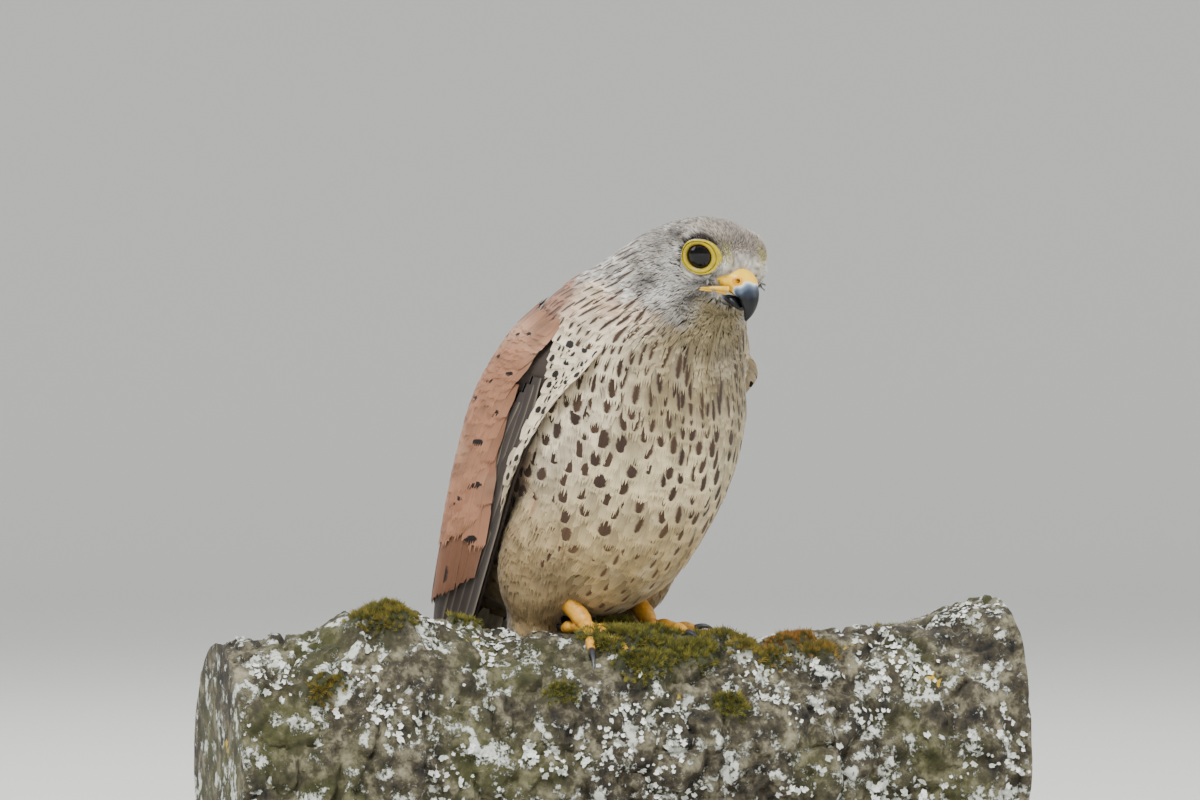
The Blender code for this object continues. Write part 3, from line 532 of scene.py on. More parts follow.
def feed(tree, node, links):
    """Gives inputs of a node their links or values."""
    for key, value in links.items():
        socket = node.inputs[key]
        if isinstance(value, bpy.types.NodeSocket):
            tree.links.new(value, socket)
        else:
            socket.default_value = value


def add_node(tree, kind, settings=None, links=None):
    """Adds a shader or geometry node with its settings and input links or values."""
    node = tree.nodes.new(kind)
    for key, value in (settings or {}).items():
        setattr(node, key, value)
    feed(tree, node, links or {})
    return node


def new_material(name):
    """An empty node material, its tree and its Principled shader."""
    made = bpy.data.materials.new(name)
    made.use_nodes = True
    return made, made.node_tree, made.node_tree.nodes["Principled BSDF"]


def rgba(code):
    """An sRGB hex colour as a colour socket's four values."""
    return (*linear(code), 1)


def attribute_of(tree, name, output="Color"):
    """An attribute of the mesh."""
    return add_node(tree, "ShaderNodeAttribute", {"attribute_name": name}).outputs[output]


def noise_of(tree, scale, detail=2.0, roughness=0.5, stretch=None):
    """Noise through the piece, its scale in features a metre."""
    place = add_node(tree, "ShaderNodeTexCoord").outputs["Object"]
    if stretch:
        place = add_node(tree, "ShaderNodeMapping", links={"Vector": place, "Scale": stretch}).outputs[0]
    links = {"Vector": place, "Scale": scale, "Detail": detail, "Roughness": roughness}
    return add_node(tree, "ShaderNodeTexNoise", links=links).outputs["Fac"]


def ramp_of(tree, value, *stops):
    """A value turned into colours through (position, code) stops."""
    node = add_node(tree, "ShaderNodeValToRGB", links={"Fac": value})
    elements = node.color_ramp.elements
    while len(elements) < len(stops):
        elements.new(0.5)
    for element, (position, code) in zip(elements, stops):
        element.position = position
        element.color = rgba(code)
    return node.outputs["Color"]


def mix_of(tree, share, first, second):
    """Two colours mixed by a share."""
    links = {"Factor": share, "A": first, "B": second}
    return add_node(tree, "ShaderNodeMix", {"data_type": "RGBA"}, links).outputs["Result"]


def bump_of(tree, height, distance, strength=1.0):
    """A normal bumped by a height, its distance in metres."""
    links = {"Height": height, "Distance": distance, "Strength": strength}
    return add_node(tree, "ShaderNodeBump", links=links).outputs[0]


def shaded_tint(tree, value, gain, base):
    """The mesh's own tint, made lighter and darker by a value."""
    links = {0: value, 1: gain, 2: base}
    shade = add_node(tree, "ShaderNodeMath", {"operation": "MULTIPLY_ADD"}, links).outputs[0]
    links = {0: attribute_of(tree, "tint"), "Scale": shade}
    return add_node(tree, "ShaderNodeVectorMath", {"operation": "SCALE"}, links).outputs[0]


def feather_material(name, roughness, streak, sheen):
    """Feather vanes: barbs as fine streaks beside a shaft, over each feather's own mark.

    The tint attribute is the feather's colour. The mark attribute holds the half width
    of its dark mark as a share of the vane, and where along the vane it starts and ends.
    """
    made, tree, shader = new_material(name)
    mark = attribute_of(tree, "mark", "Vector")
    width, first, last = add_node(tree, "ShaderNodeSeparateXYZ", links={0: mark}).outputs
    vane = add_node(tree, "ShaderNodeUVMap", {"uv_map": "Vane"}).outputs["UV"]
    across, ahead, rest = add_node(tree, "ShaderNodeSeparateXYZ", links={0: vane}).outputs

    def maths(operation, a, b=0.0, clamp=False):
        settings = {"operation": operation, "use_clamp": clamp}
        return add_node(tree, "ShaderNodeMath", settings, {0: a, 1: b}).outputs[0]

    off_shaft = maths("ABSOLUTE", maths("SUBTRACT", maths("MULTIPLY", across, 2.0), 1.0))
    ragged = maths("MULTIPLY", maths("SUBTRACT", noise_of(tree, 900.0), 0.5), 0.7)
    share = maths("DIVIDE", maths("SUBTRACT", ahead, first), maths("SUBTRACT", last, first), clamp=True)
    rise = maths("POWER", share, 0.7)
    fall = maths("POWER", maths("SUBTRACT", 1.0, share), 0.45)
    outline = maths("MULTIPLY", maths("MULTIPLY", rise, fall), 1.9)
    edge = maths("ADD", maths("MULTIPLY", width, outline), maths("MULTIPLY", ragged, width))
    inside = maths("DIVIDE", maths("SUBTRACT", edge, off_shaft), 0.22)
    inside = maths("ADD", inside, 0.5, clamp=True)
    inside = maths("MULTIPLY", inside, maths("MULTIPLY", share, 12.0, clamp=True))
    inside = maths("MULTIPLY", inside, maths("GREATER_THAN", width, 0.01))
    inside = maths("MULTIPLY", inside, maths("LESS_THAN", share, 0.995))

    # Barbs: streaks 0.3 mm apart that slant off the shaft.
    slant = maths("SUBTRACT", maths("MULTIPLY", off_shaft, 9.0), maths("MULTIPLY", ahead, 4.0))
    place = add_node(tree, "ShaderNodeCombineXYZ", links={0: slant, 1: ahead, 2: rest}).outputs[0]
    links = {"Vector": place, "Scale": 1.6, "Detail": 3.0}
    barbs = add_node(tree, "ShaderNodeTexNoise", links=links).outputs["Fac"]
    hair = noise_of(tree, 350.0)
    shade = maths("ADD", maths("MULTIPLY", barbs, streak), maths("MULTIPLY", hair, streak * 0.4))
    shade = maths("ADD", shade, 1.0 - 0.7 * streak)
    shaft = maths("SUBTRACT", 1.0, maths("DIVIDE", off_shaft, 0.07, clamp=True))
    shade = maths("SUBTRACT", shade, maths("MULTIPLY", shaft, 0.5 * streak))
    base = mix_of(tree, inside, attribute_of(tree, "tint"), attribute_of(tree, "ink"))
    lit = add_node(tree, "ShaderNodeVectorMath", {"operation": "SCALE"}, {0: base, "Scale": shade})
    looks = {
        "Base Color": lit.outputs[0],
        "Normal": bump_of(tree, barbs, 0.00025, 0.5),
        "Roughness": roughness,
        "Specular IOR Level": 0.22,
        "Sheen Weight": sheen,
        "Sheen Roughness": 0.5,
    }
    feed(tree, shader, looks)
    return made


def vane_template(columns, rows, fingers):
    """A feather's vane as arrays: a closed thin lens whose tip splits into barb fingers.

    Points have a place across (-1 to 1) and along (0 to 1) and a face (1 upper, -1 under,
    0 on the rim). Fingers are one pointed barb group a column.
    """
    across = []
    along = []
    face = []
    tips = []
    upper = {}
    under = {}

    def point(c, r, s, tip=False):
        across.append(c)
        along.append(r)
        face.append(s)
        tips.append(tip)
        return len(across) - 1

    for i, r in enumerate(rows):
        for k in range(columns + 1):
            c = 2 * k / columns - 1
            if i == 0 or k in (0, columns):
                upper[i, k] = under[i, k] = point(c, r, 0)
            else:
                upper[i, k] = point(c, r, 1)
                under[i, k] = point(c, r, -1)
    triangles = []
    for i in range(len(rows) - 1):
        for k in range(columns):
            for grid, flip in ((upper, False), (under, True)):
                a, b = grid[i, k], grid[i, k + 1]
                d, c = grid[i + 1, k], grid[i + 1, k + 1]
                for triple in ((a, b, c), (a, c, d)):
                    triangles.append(triple[::-1] if flip else triple)
    last = len(rows) - 1
    for k in range(columns):
        c = (2 * k + 1) / columns - 1
        reach = fingers + (1 - fingers) * math.sqrt(max(1 - 0.92 * c * c, 0))
        tip = point(c * 0.86, reach, 0, True)
        a, b = upper[last, k], upper[last, k + 1]
        d, e = under[last, k], under[last, k + 1]
        triangles.append((a, b, tip))
        triangles.append((e, d, tip))
        if a != d:
            triangles.append((d, a, tip))
        if b != e:
            triangles.append((b, e, tip))
    return {
        "across": np.array(across),
        "along": np.array(along),
        "face": np.array(face),
        "tips": np.array(tips),
        "triangles": np.array(triangles),
    }


SMALL_VANE = vane_template(3, [0, 0.5], 0.66)
BODY_VANE = vane_template(7, [0, 0.3, 0.58, 0.8], 0.84)
COVERT_VANE = vane_template(8, [0, 0.2, 0.45, 0.68, 0.88], 0.86)
TAIL_VANE = vane_template(6, [0, 0.25, 0.5, 0.7, 0.8, 0.815, 0.9, 0.95, 0.965], 0.975)
FLIGHT_VANE = vane_template(6, [0, 0.1, 0.2, 0.3, 0.4, 0.5, 0.6, 0.7, 0.8, 0.88, 0.95], 0.93)


def lay_vanes(
    surface, template, start, end, half, height, rng, jag=0.14, root_width=0.4, thick=0.16, course=None
):
    """Lays one vane for each start and end (flow, side) pair along a surface.

    height(flow, c, r) gives the height of the vane's middle above the surface for each
    feather and point, where c is its place across and r along, and course(flow) bends the
    shafts. Returns points, places (flow, side) and the vane's own map for every point.
    """
    c = template["across"][None, :]
    r = template["along"][None, :]
    count = len(start)
    wild = rng.uniform(-jag, jag * 0.5, (count, len(template["across"]))) * template["tips"]
    r_here = r * (1 + wild)
    flow = start[:, 0:1] + (end[:, 0:1] - start[:, 0:1]) * r_here
    line = start[:, 1:2] + (end[:, 1:2] - start[:, 1:2]) * r_here if course is None else course(flow)
    width = np.minimum(root_width + (1 - root_width) * r / 0.4, 1.0) * half[:, None]
    side = line + c * width / surface.side_length(flow, line)
    lift = height(flow, c, r_here)
    body = template["face"][None, :] * thick / 2 * (1 - 0.5 * r)
    points = surface.place(flow, side) + surface.normal(flow, side) * (lift + body)[..., None]
    vane = np.stack([np.broadcast_to(c, flow.shape) * 0.5 + 0.5, r_here], axis=-1)
    return points, np.stack([flow, side], axis=-1), vane


def vane_batch(surface, template, laid, vane, root_map, tint, ink, mark):
    """One batch of laid vanes as gather takes it, with its colours and marks."""
    return {
        "points": laid,
        "template": template,
        "vane": vane,
        "root_map": root_map,
        "tint": tint,
        "ink": ink,
        "mark": mark,
        "flip": surface.turned > 0,
    }


def mark_rows(width, start, stop):
    """Each feather's mark as one row: its half width, and where it starts and ends."""
    return np.stack(np.broadcast_arrays(width, start, stop), axis=1)[:, None, :]


def vane_ends(surface, roots, length, twist):
    """Where feathers end that start at the roots and turn off the plumage's lie by twist."""
    flow_step = length / surface.flow_length(roots[:, 0], roots[:, 1])
    side_step = length * np.tan(twist) / surface.side_length(roots[:, 0], roots[:, 1])
    return roots + np.stack([flow_step, side_step], axis=1)


def gather(name, batches, material):
    """Joins laid batches into one feather piece with its maps, tint, ink and marks."""
    parts = {key: [] for key in ("points", "faces", "vane", "baked", "tint", "ink", "mark")}
    offset = 0
    for batch in batches:
        count, size = batch["points"].shape[:2]
        triangles = batch["template"]["triangles"]
        if batch["flip"]:
            triangles = triangles[:, ::-1]
        shifts = offset + np.arange(count) * size
        parts["faces"].append((triangles[None] + shifts[:, None, None]).reshape(-1, 3))
        parts["points"].append(batch["points"].reshape(-1, 3))
        parts["vane"].append(batch["vane"].reshape(-1, 2))
        patch = (batch["vane"] - 0.5) * BAKED_PATCH
        parts["baked"].append((batch["root_map"][:, None, :] + patch).reshape(-1, 2))
        for key in ("tint", "ink", "mark"):
            parts[key].append(np.broadcast_to(batch[key], (count, size, 3)).reshape(-1, 3))
        offset += count * size
    joined = {key: np.concatenate(rows) for key, rows in parts.items()}
    return mesh_object(
        name,
        joined["points"],
        joined["faces"],
        material,
        layers=[("OFBake", joined["baked"]), ("Vane", joined["vane"])],
        colours={"tint": joined["tint"], "ink": joined["ink"]},
        vectors={"mark": joined["mark"]},
    )


def near_tree(points):
    """A search tree over points."""
    tree = kdtree.KDTree(len(points))
    for i, point in enumerate(points):
        tree.insert(point, i)
    tree.balance()
    return tree


def choose_apart(points, gaps, order, free):
    """Chooses free points in this order, so that none lies within the gap of one before."""
    tree = near_tree(points)
    chosen = np.zeros(len(points), dtype=bool)
    for i in order:
        if free[i]:
            chosen[i] = True
            for _, j, _ in tree.find_range(points[i], gaps[i]):
                free[j] = False
    return chosen


def scatter(surface, flows, sides, spacing, seed, tries):
    """Even random places (flow, side) on a surface, at least a given spacing apart."""
    rng = np.random.default_rng(seed)
    flow = rng.uniform(*flows, tries)
    side = rng.uniform(*sides, tries)
    gap = np.broadcast_to(spacing(flow, side), flow.shape)
    area = surface.flow_length(flow, side) * surface.side_length(flow, side) / gap**2
    keep = rng.uniform(0, np.quantile(area, 0.98), tries) < area
    flow, side, gap = flow[keep], side[keep], gap[keep]
    free = np.ones(len(flow), dtype=bool)
    chosen = choose_apart(surface.place(flow, side), gap, range(len(flow)), free)
    return np.stack([flow[chosen], side[chosen]], axis=1)


PLUMAGE_NOISE = Noise(7)


def body_colour(points, from_back):
    """The colour of breast, belly, back and neck, by how far round from the back."""
    y, z = points[..., 1], points[..., 2]
    low = smoothstep(84, 62, z)
    from_front = (math.pi - from_back) * (1 - low) + np.arctan2(np.abs(points[..., 0]), 8 - y) * low
    slow = PLUMAGE_NOISE.at(points * np.array([1, 1, 0.35]), 7)
    quick = PLUMAGE_NOISE.at(points * np.array([1, 1, 0.3]) + 40, 3.2)
    # The thigh mask: low on the flanks over the thighs, where painted shade falls.
    thigh = smoothstep(0.7, 1.3, from_front) * smoothstep(74, 46, z)
    rusty = smoothstep(0.2, 0.8, quick) * bell(z, 44, 15) * smoothstep(0.5, 0.9, from_front)
    breast = smoothstep(122, 108, z) * smoothstep(52, 84, z) * smoothstep(1.3, 0.5, from_front)
    neck_side = smoothstep(108, 120, z) * smoothstep(0.8, 1.3, from_back) * smoothstep(-66, -46, y)
    mantle = smoothstep(1.5, 1.25, from_back) * smoothstep(144, 140, z - 0.2 * (y + 10))
    return paint(
        "#D8C9A2",
        ("#DCCDB0", smoothstep(0.5, 1.1, from_front) * smoothstep(40, 66, z)),
        # Buffer and darker toward the belly: the belly's own buff, deepened as painted shade under the body.
        ("#B0935F", smoothstep(70, 22, z) * (0.8 + 0.2 * slow)),
        # Brown-grey low on the flanks over the thighs: painted shade.
        ("#6F5E44", 0.85 * thigh * (0.7 + 0.3 * slow)),
        ("#945A38", 0.4 * rusty),
        ("#5F4C26", 0.9 * breast * (0.75 + 0.4 * slow)),
        # Pale cloudy patches toward the front: painted highlight.
        ("#EBDDBC", 0.35 * smoothstep(0.1, 0.8, slow) * smoothstep(1.6, 0.6, from_front)),
        ("#AD9D74", 0.85 * smoothstep(104, 114, z) * smoothstep(0.9, 0.4, from_front)),
        ("#DCC3A8", 0.7 * neck_side),
        ("#C08E6E", 0.4 * neck_side * smoothstep(0.0, 0.7, quick)),
        ("#98705A", mantle * smoothstep(-18, -8, y) * smoothstep(46, 60, z)),
        ("#7F828B", smoothstep(62, 44, z) * smoothstep(1.3, 1.0, from_back)),
    )


def head_colour(seen):
    """The colour of the grey head, its face marks and a painted shadow under the brow, at points of the
    head's frame.
    """
    ahead, up, side = seen[..., 0], seen[..., 1], np.abs(seen[..., 2])
    level, rise, _ = face_view(seen)
    near = smoothstep(5, 10, side)
    streaky = 0.5 + 0.5 * PLUMAGE_NOISE.at(seen * np.array([0.3, 1, 1]), 1.3)
    cloudy = 0.5 + 0.5 * PLUMAGE_NOISE.at(seen * np.array([0.5, 1, 1]) + 20, 3.2)
    crown = smoothstep(3, 9, up)
    ring = np.hypot(level, rise)
    over_eye = rise / np.maximum(ring, 1)
    # The arc hugs the ring above the eye, under the brow: painted shadow.
    arc = bell(ring, 7.6, 0.8) * smoothstep(0.15, 0.5, over_eye) * smoothstep(-8, -4, level)
    line = bell(level, -9, 4) * bell(rise, 7.2 - 0.12 * (level + 9), 1.4)
    under = bell(level, 0, 7) * bell(rise, -8.8 + 0.12 * level, 1.7)

    def patch(at_level, wide, at_rise, high):
        return bell(level, at_level, wide) * bell(rise, at_rise, high) * near

    return paint(
        "#BFB9AE",
        ("#B3A89C", crown),
        ("#554D48", (0.85 - 0.35 * crown) * smoothstep(0.5, 0.95, streaky)),
        ("#F6F3EC", 0.85 * smoothstep(0.45, 0.1, streaky) * smoothstep(9, 3, up)),
        ("#5E5854", 0.7 * cloudy * patch(-17, 9, 5.5, 4.5)),
        ("#F2EFE8", 0.9 * patch(-15, 7, -12, 4)),
        ("#E6E3DB", 0.8 * patch(-12, 6, -3.5, 4) * (0.5 + 0.5 * cloudy)),
        ("#5A5553", 0.75 * patch(-22, 5, -8.5, 3)),
        # Painted shadow under the brow.
        ("#1E1816", 0.95 * arc * near),
        ("#2A2422", 0.85 * line * near),
        ("#D9CDB9", 0.7 * bell(ring, 10.6, 0.8) * smoothstep(0.55, 0.8, over_eye) * near),
        ("#6A6869", 0.9 * under * near),
        ("#38312E", 0.85 * patch(-4, 5, -15, 2.2)),
        ("#B5AA5C", 0.95 * patch(11.2, 3.4, -0.5, 5)),
        ("#F4F1EA", 0.9 * bell(ahead, 10, 4) * bell(up, 3.5, 4) * smoothstep(7, 11, side)),
    )


def plumage(points, angle):
    """The plumage's colour at body points, whose angle is measured round from the back."""
    seen = head_frame(points)
    ahead, up, side = seen[..., 0], seen[..., 1], np.abs(seen[..., 2])
    y, z = points[..., 1], points[..., 2]
    from_back = np.abs((angle + math.pi) % math.tau - math.pi)
    border = 134.5 + 0.5 * (y + 18) - 9 * smoothstep(1.35, 0.8, from_back)
    wave = 3.0 * PLUMAGE_NOISE.at(points, 9) + 2.0 * PLUMAGE_NOISE.at(points, 4)
    chin = smoothstep(-11, -14, up) * smoothstep(-6, 2, ahead) * smoothstep(15, 8, side)
    grey_part = smoothstep(-3, 3, z - border + wave) * (1 - chin)
    colour = blend(body_colour(points, from_back), head_colour(seen), grey_part)
    # The cloud is tone that differs at random; the tuft term paints light on the tufts and shade in the
    # valleys where they part.
    cloud = 0.07 * PLUMAGE_NOISE.at(points, 6) + 0.05 * PLUMAGE_NOISE.at(points, 2.5)
    return colour * (1 + cloud + 0.2 * tuft_height(points))[..., None]


def tuft_height(points):
    """Where the long feathers of breast and flanks clump into tufts (1) or part (-1)."""
    drawn = points * np.array([1, 1, 0.28])
    tufts = PLUMAGE_NOISE.at(drawn + 9, 5.5) + 0.5 * PLUMAGE_NOISE.at(drawn, 2.8)
    return tufts * smoothstep(128, 104, points[..., 2])


def shade_vanes(tint, vane, depth):
    """Darkens feathers toward their roots, which lie in one another's shade."""
    lit = 1 - depth * (1 - smoothstep(0.35, 0.92, vane[..., 1]))
    return tint * lit[..., None]


def vary(colour, rng, amount):
    """Each feather a little lighter or darker than its place."""
    return colour * rng.uniform(1 - amount, 1 + amount, (len(colour), 1, 1))


def covered_by_wing(points, wings):
    """Which body points lie well under a folded wing."""
    places = []
    for wing in wings:
        flow, side = np.meshgrid(np.linspace(0.7, 4.8, 30), np.linspace(0.45, 1.75, 14), indexing="ij")
        places.append(wing.place(flow.ravel(), side.ravel()))
    tree = near_tree(np.concatenate(places))
    return np.array([tree.find(point)[2] < 9.5 for point in points])


def coat_roots(body, wings, head):
    """Where the body's feathers are rooted: not on eyes, bill and gape or under the wings."""
    def gap(flow, side):
        away = np.linalg.norm(body.place(flow, side) - head, axis=-1)
        return 0.72 + 1.6 * smoothstep(16, 78, away)

    parts = (((0.05, 5.0), 11), ((5.0, 16.6), 12))
    roots = np.concatenate([scatter(body, flows, (0, math.tau), gap, seed, 90000) for flows, seed in parts])
    points = body.place(roots[:, 0], roots[:, 1])
    ahead, up, side = head_frame(points).T
    side = np.abs(side)
    distance, angle = eye_polar(points)
    near_head = np.linalg.norm(points - head, axis=-1) < FACE_REACH
    clear = 7.0 + 1.9 * np.clip(np.cos(angle - math.radians(30)), 0, 1) ** 2
    keep = ~((distance < clear) & (side > 4)) & ~covered_by_wing(points, wings)
    on_bill = (ahead > 9.4) & (up < 3.6) & (up > -9.8) & (side < 6.6)
    on_bill |= (ahead > 7.2) & (up < -4.8) & (up > -10.8) & (side < 8.6)
    gape = (ahead > 6.5) & (np.abs(up + 6.5 + 0.45 * (10 - ahead)) < 1.4) & (side < 13)
    return roots[keep & ~((on_bill | gape) & near_head)]


def body_coat(body, wings, material):
    """The small feathers of head, neck, breast, belly and back, over the whole skin."""
    head = head_point(0, 0, 0)
    roots = coat_roots(body, wings, head)
    points = body.place(roots[:, 0], roots[:, 1])
    rng = np.random.default_rng(21)
    away = np.linalg.norm(points - head, axis=-1)
    grown = smoothstep(14, 80, away)
    length = (2.6 + 11.8 * grown) * rng.uniform(0.8, 1.2, len(roots))
    front = (head_frame(points)[:, 0] > 4.5) & (away < FACE_REACH)
    length = np.where(front, np.minimum(length, 2.1), length)
    length = np.where(eye_polar(points)[0] < 9.5, np.minimum(length, 2.2), length)
    half = (0.62 + 2.7 * grown) * rng.uniform(0.85, 1.15, len(roots))
    marked = marked_feathers(roots, points)
    half = np.where(marked["half"] > 0, marked["half"], half)
    length = np.where(marked["half"] > 0, np.maximum(length, marked["length"]), length)
    ends = vane_ends(body, roots, length, rng.normal(0, 0.10, len(roots)))
    on_body = away >= HEAD_COAT_REACH
    rear = on_body & (points[:, 1] >= VENT_BEHIND)
    fore = on_body & (points[:, 1] < VENT_BEHIND)
    high = points[:, 2]
    tiers = [
        (~on_body, SMALL_VANE, "feathers_head"),
        (fore & (high >= BREAST_FROM), BODY_VANE, "feathers_breast"),
        (fore & (high >= FLANKS_FROM) & (high < BREAST_FROM), BODY_VANE, "feathers_flanks"),
        (fore & (high < FLANKS_FROM), BODY_VANE, "feathers_belly"),
        (rear, BODY_VANE, "feathers_vent"),
    ]
    pieces = []
    for chosen, template, name in tiers:
        index = np.flatnonzero(chosen)
        count = len(index)
        long = length[index][:, None]
        wide = half[index][:, None]
        jitter = rng.uniform(-0.22, 0.22, (count, 1)) * (0.4 + np.clip(long / 14, 0, 1))
        lift = marked["lift"][index][:, None] + jitter + 0.55 * tuft_height(points[index])[:, None]

        def height(flow, c, r):
            rise = -SKIN_DEPTH * 0.75 * np.exp(-long / 9) - 0.6
            top = 0.02 * long + lift
            curl = 0.03 * long * r**2
            return rise + (top - rise) * r**0.7 - curl - 0.16 * wide * c**2

        laid, places, vane = lay_vanes(body, template, roots[index], ends[index], half[index], height, rng)
        tint = plumage(body.place(places[..., 0], places[..., 1]), places[..., 1])
        tint = shade_vanes(vary(tint, rng, 0.2), vane, 0.5)
        worn = 0.6 * smoothstep(60, 30, points[index][:, 2]) + rng.uniform(0, 0.2, count)
        ink = paint("#33261F", ("#6E5238", worn))[:, None, :]
        mark = mark_rows(*(marked[key][index] for key in ("width", "start", "stop")))
        root_map = np.stack([roots[index][:, 1] / math.tau, roots[index][:, 0] / LAST_FLOW], axis=1)
        low, high = root_map.min(axis=0), root_map.max(axis=0)
        root_map = 0.01 + 0.98 * (root_map - low) / (high - low)
        batch = vane_batch(body, template, laid, vane, root_map, tint, ink, mark)
        pieces.append(gather(name, [batch], material))
    return pieces


def marked_feathers(roots, points):
    """Which feathers carry a dark mark, and its size: streaks above, drops and spots below."""
    count = len(roots)
    rng = np.random.default_rng(31)
    from_front = np.abs(roots[:, 1] % math.tau - math.pi)
    y, z = points[:, 1], points[:, 2]
    head = head_point(0, 0, 0)
    away = np.linalg.norm(points - head, axis=1)
    flank = smoothstep(0.55, 1.0, from_front) * smoothstep(108, 96, z) * smoothstep(22, 45, z)
    streaks = smoothstep(80, 92, z)
    low = smoothstep(52, 30, z)
    spacing = 3.5 + 1.4 * (1 - streaks) + 0.9 * flank + 1.5 * low
    back = np.abs((roots[:, 1] + math.pi) % math.tau - math.pi) < 1.2
    throat = (away < 42) & (from_front < 0.3)
    bare = (away < 31) | throat | (z < 10) | ((y > 30) & (z < 60))
    chosen = choose_apart(points, spacing, rng.permutation(count), ~bare)
    size = rng.uniform(0.8, 1.2, count)
    nape = (y > head[1] + 4) | (head_frame(points)[:, 1] > 4)
    shafts = ~chosen & (away < 66) & nape & (rng.uniform(0, 1, count) < 0.45)
    width = (0.44 + 0.16 * flank - 0.14 * streaks - 0.12 * low) * size
    width = np.where(back, 0.25 * size, width)
    return {
        "half": np.where(chosen, 3.6 + 1.4 * flank - 0.6 * low, 0),
        "length": np.where(chosen, 13.5 + 1.5 * flank - 3 * low, 0),
        "width": np.where(chosen, width, np.where(shafts, 0.16 * size, 0)),
        "start": np.where(chosen, 0.32 + 0.1 * flank - 0.2 * streaks, 0.2),
        "stop": np.where(chosen, 0.78 + 0.02 * flank - 0.05 * low, 0.95),
        "lift": np.where(chosen, 0.35, 0.0),
    }


# Each tier of wing feathers: how many, the flow of the first and last root and tip, the
# course of the first and last shaft across the wing as pairs of flow and place, half
# the width in mm, the depth of the feather's middle below the wing's face along the
# flow, the tints of the first and last feather, and the chance of a mark with its width.
WING_TIERS = {
    "primaries": {
        "count": 11,
        "roots": (1.5, 3.4),
        "tips": (8.0, 6.9),
        "first": [(0.9, 0.4), (2.1, 0.13), (3.3, 0.02), (4.2, 0.0), (5.5, 0.05), (8, 0.5)],
        "last": [(0.9, 0.75), (2.1, 0.75), (3.3, 0.9), (4.2, 1.15), (5.2, 1.7), (8, 1.9)],
        "half": 4.4,
        "depths": [(0.9, 1.9), (3.0, 2.0), (5.0, 2.2), (5.9, 2.2), (6.8, 1.8), (8, 1.0)],
        "tints": ("#3B3430", "#4A423E"),
        "mark": (0, 0),
    },
    "secondaries": {
        "count": 10,
        "roots": (3.0, 2.6),
        "tips": (4.9, 5.7),
        "first": [(2.6, 0.4), (4.2, 0.22), (5, 0.24), (6, 0.45)],
        "last": [(2.5, 1.85), (6, 1.82)],
        "half": 5.4,
        "depths": [(2.5, 3.8), (3.3, 2.4), (4.1, 1.5), (6.1, 0.5)],
        "tints": ("#74503B", "#865B43"),
        "mark": (0.5, 0.3),
    },
    "greater_coverts": {
        "count": 12,
        "roots": (1.7, 1.7),
        "tips": (3.6, 4.8),
        "first": [(1.7, 0.54), (3.3, 0.3), (5, 0.25)],
        "last": [(1.7, 1.72), (5, 1.74)],
        "half": 4.6,
        "depths": [(1.7, 2.6), (3.0, 1.2), (4.9, 0.3)],
        "tints": ("#8C604A", "#94664D"),
        "mark": (0.55, 0.4),
    },
}


def wing_tier(surface, tier, rng):
    """One tier of long wing feathers as a batch, laid like shingles over one another."""
    count = tier["count"]
    share = np.linspace(0, 1, count)
    start = np.interp(share, (0, 1), tier["roots"])
    end = np.interp(share, (0, 1), tier["tips"]) + rng.uniform(-0.04, 0.04, count)
    first = np.array(tier["first"])
    last = np.array(tier["last"])

    def course(flow):
        front = np.interp(flow, first[:, 0], first[:, 1])
        back = np.interp(flow, last[:, 0], last[:, 1])
        return front + (back - front) * share.reshape((-1,) + (1,) * (flow.ndim - 1))

    starts = np.stack([start, course(start)], axis=1)
    ends = np.stack([end, course(end)], axis=1)
    keys = np.array(tier["depths"])
    half = np.full(count, tier["half"])
    wiggle = rng.uniform(-0.1, 0.1, (count, 1))

    def height(flow, c, r):
        depth = np.interp(flow, keys[:, 0], keys[:, 1])
        return wiggle - depth - 0.38 * c - 0.05 * tier["half"] * c**2

    laid, _, vane = lay_vanes(
        surface, FLIGHT_VANE, starts, ends, half, height, rng, 0.015, 0.6, QUILL_THICK, course
    )
    tint = paint(tier["tints"][0], (tier["tints"][1], share)) * rng.uniform(0.93, 1.07, (count, 1))
    tint = np.repeat(tint[:, None, :], laid.shape[1], axis=1)
    edge = smoothstep(0.62, 1.0, FLIGHT_VANE["across"] * -1)[None, :]
    dark = smoothstep(0.5, 0.2, tint.mean(axis=2) * 4)
    tint = shade_vanes(blend(tint, linear("#9A8D7C"), 0.6 * edge * dark), vane, 0.15)
    has = rng.uniform(0, 1, count) < tier["mark"][0]
    width = np.where(has, tier["mark"][1] * rng.uniform(0.8, 1.2, count), 0)
    mark = mark_rows(width, 0.78, 0.9)
    return vane_batch(surface, FLIGHT_VANE, laid, vane, wing_map(starts), tint, linear("#26201F"), mark)


def wing_map(roots):
    """Where a wing feather's root lies on the wing's own unwrap."""
    return np.stack([(roots[:, 1] + 0.3) / 2.6, roots[:, 0] / 8], axis=1) * 0.96 + 0.02


def cream_limit(flow):
    """How far across the wing's bend the pale feathers of the breast's side reach."""
    return np.interp(flow, (0, 0.8, 1.4, 2.2, 3.3, 4.2), (0.5, 0.33, 0.16, 0.05, 0.0, -0.12))


def rust_limit(flow):
    """Where the chestnut feathers start across the wing, behind the dark stripe."""
    return np.interp(flow, (0, 1.05, 2.1, 3.3, 4.2), (0.52, 0.48, 0.36, 0.22, 0.16))


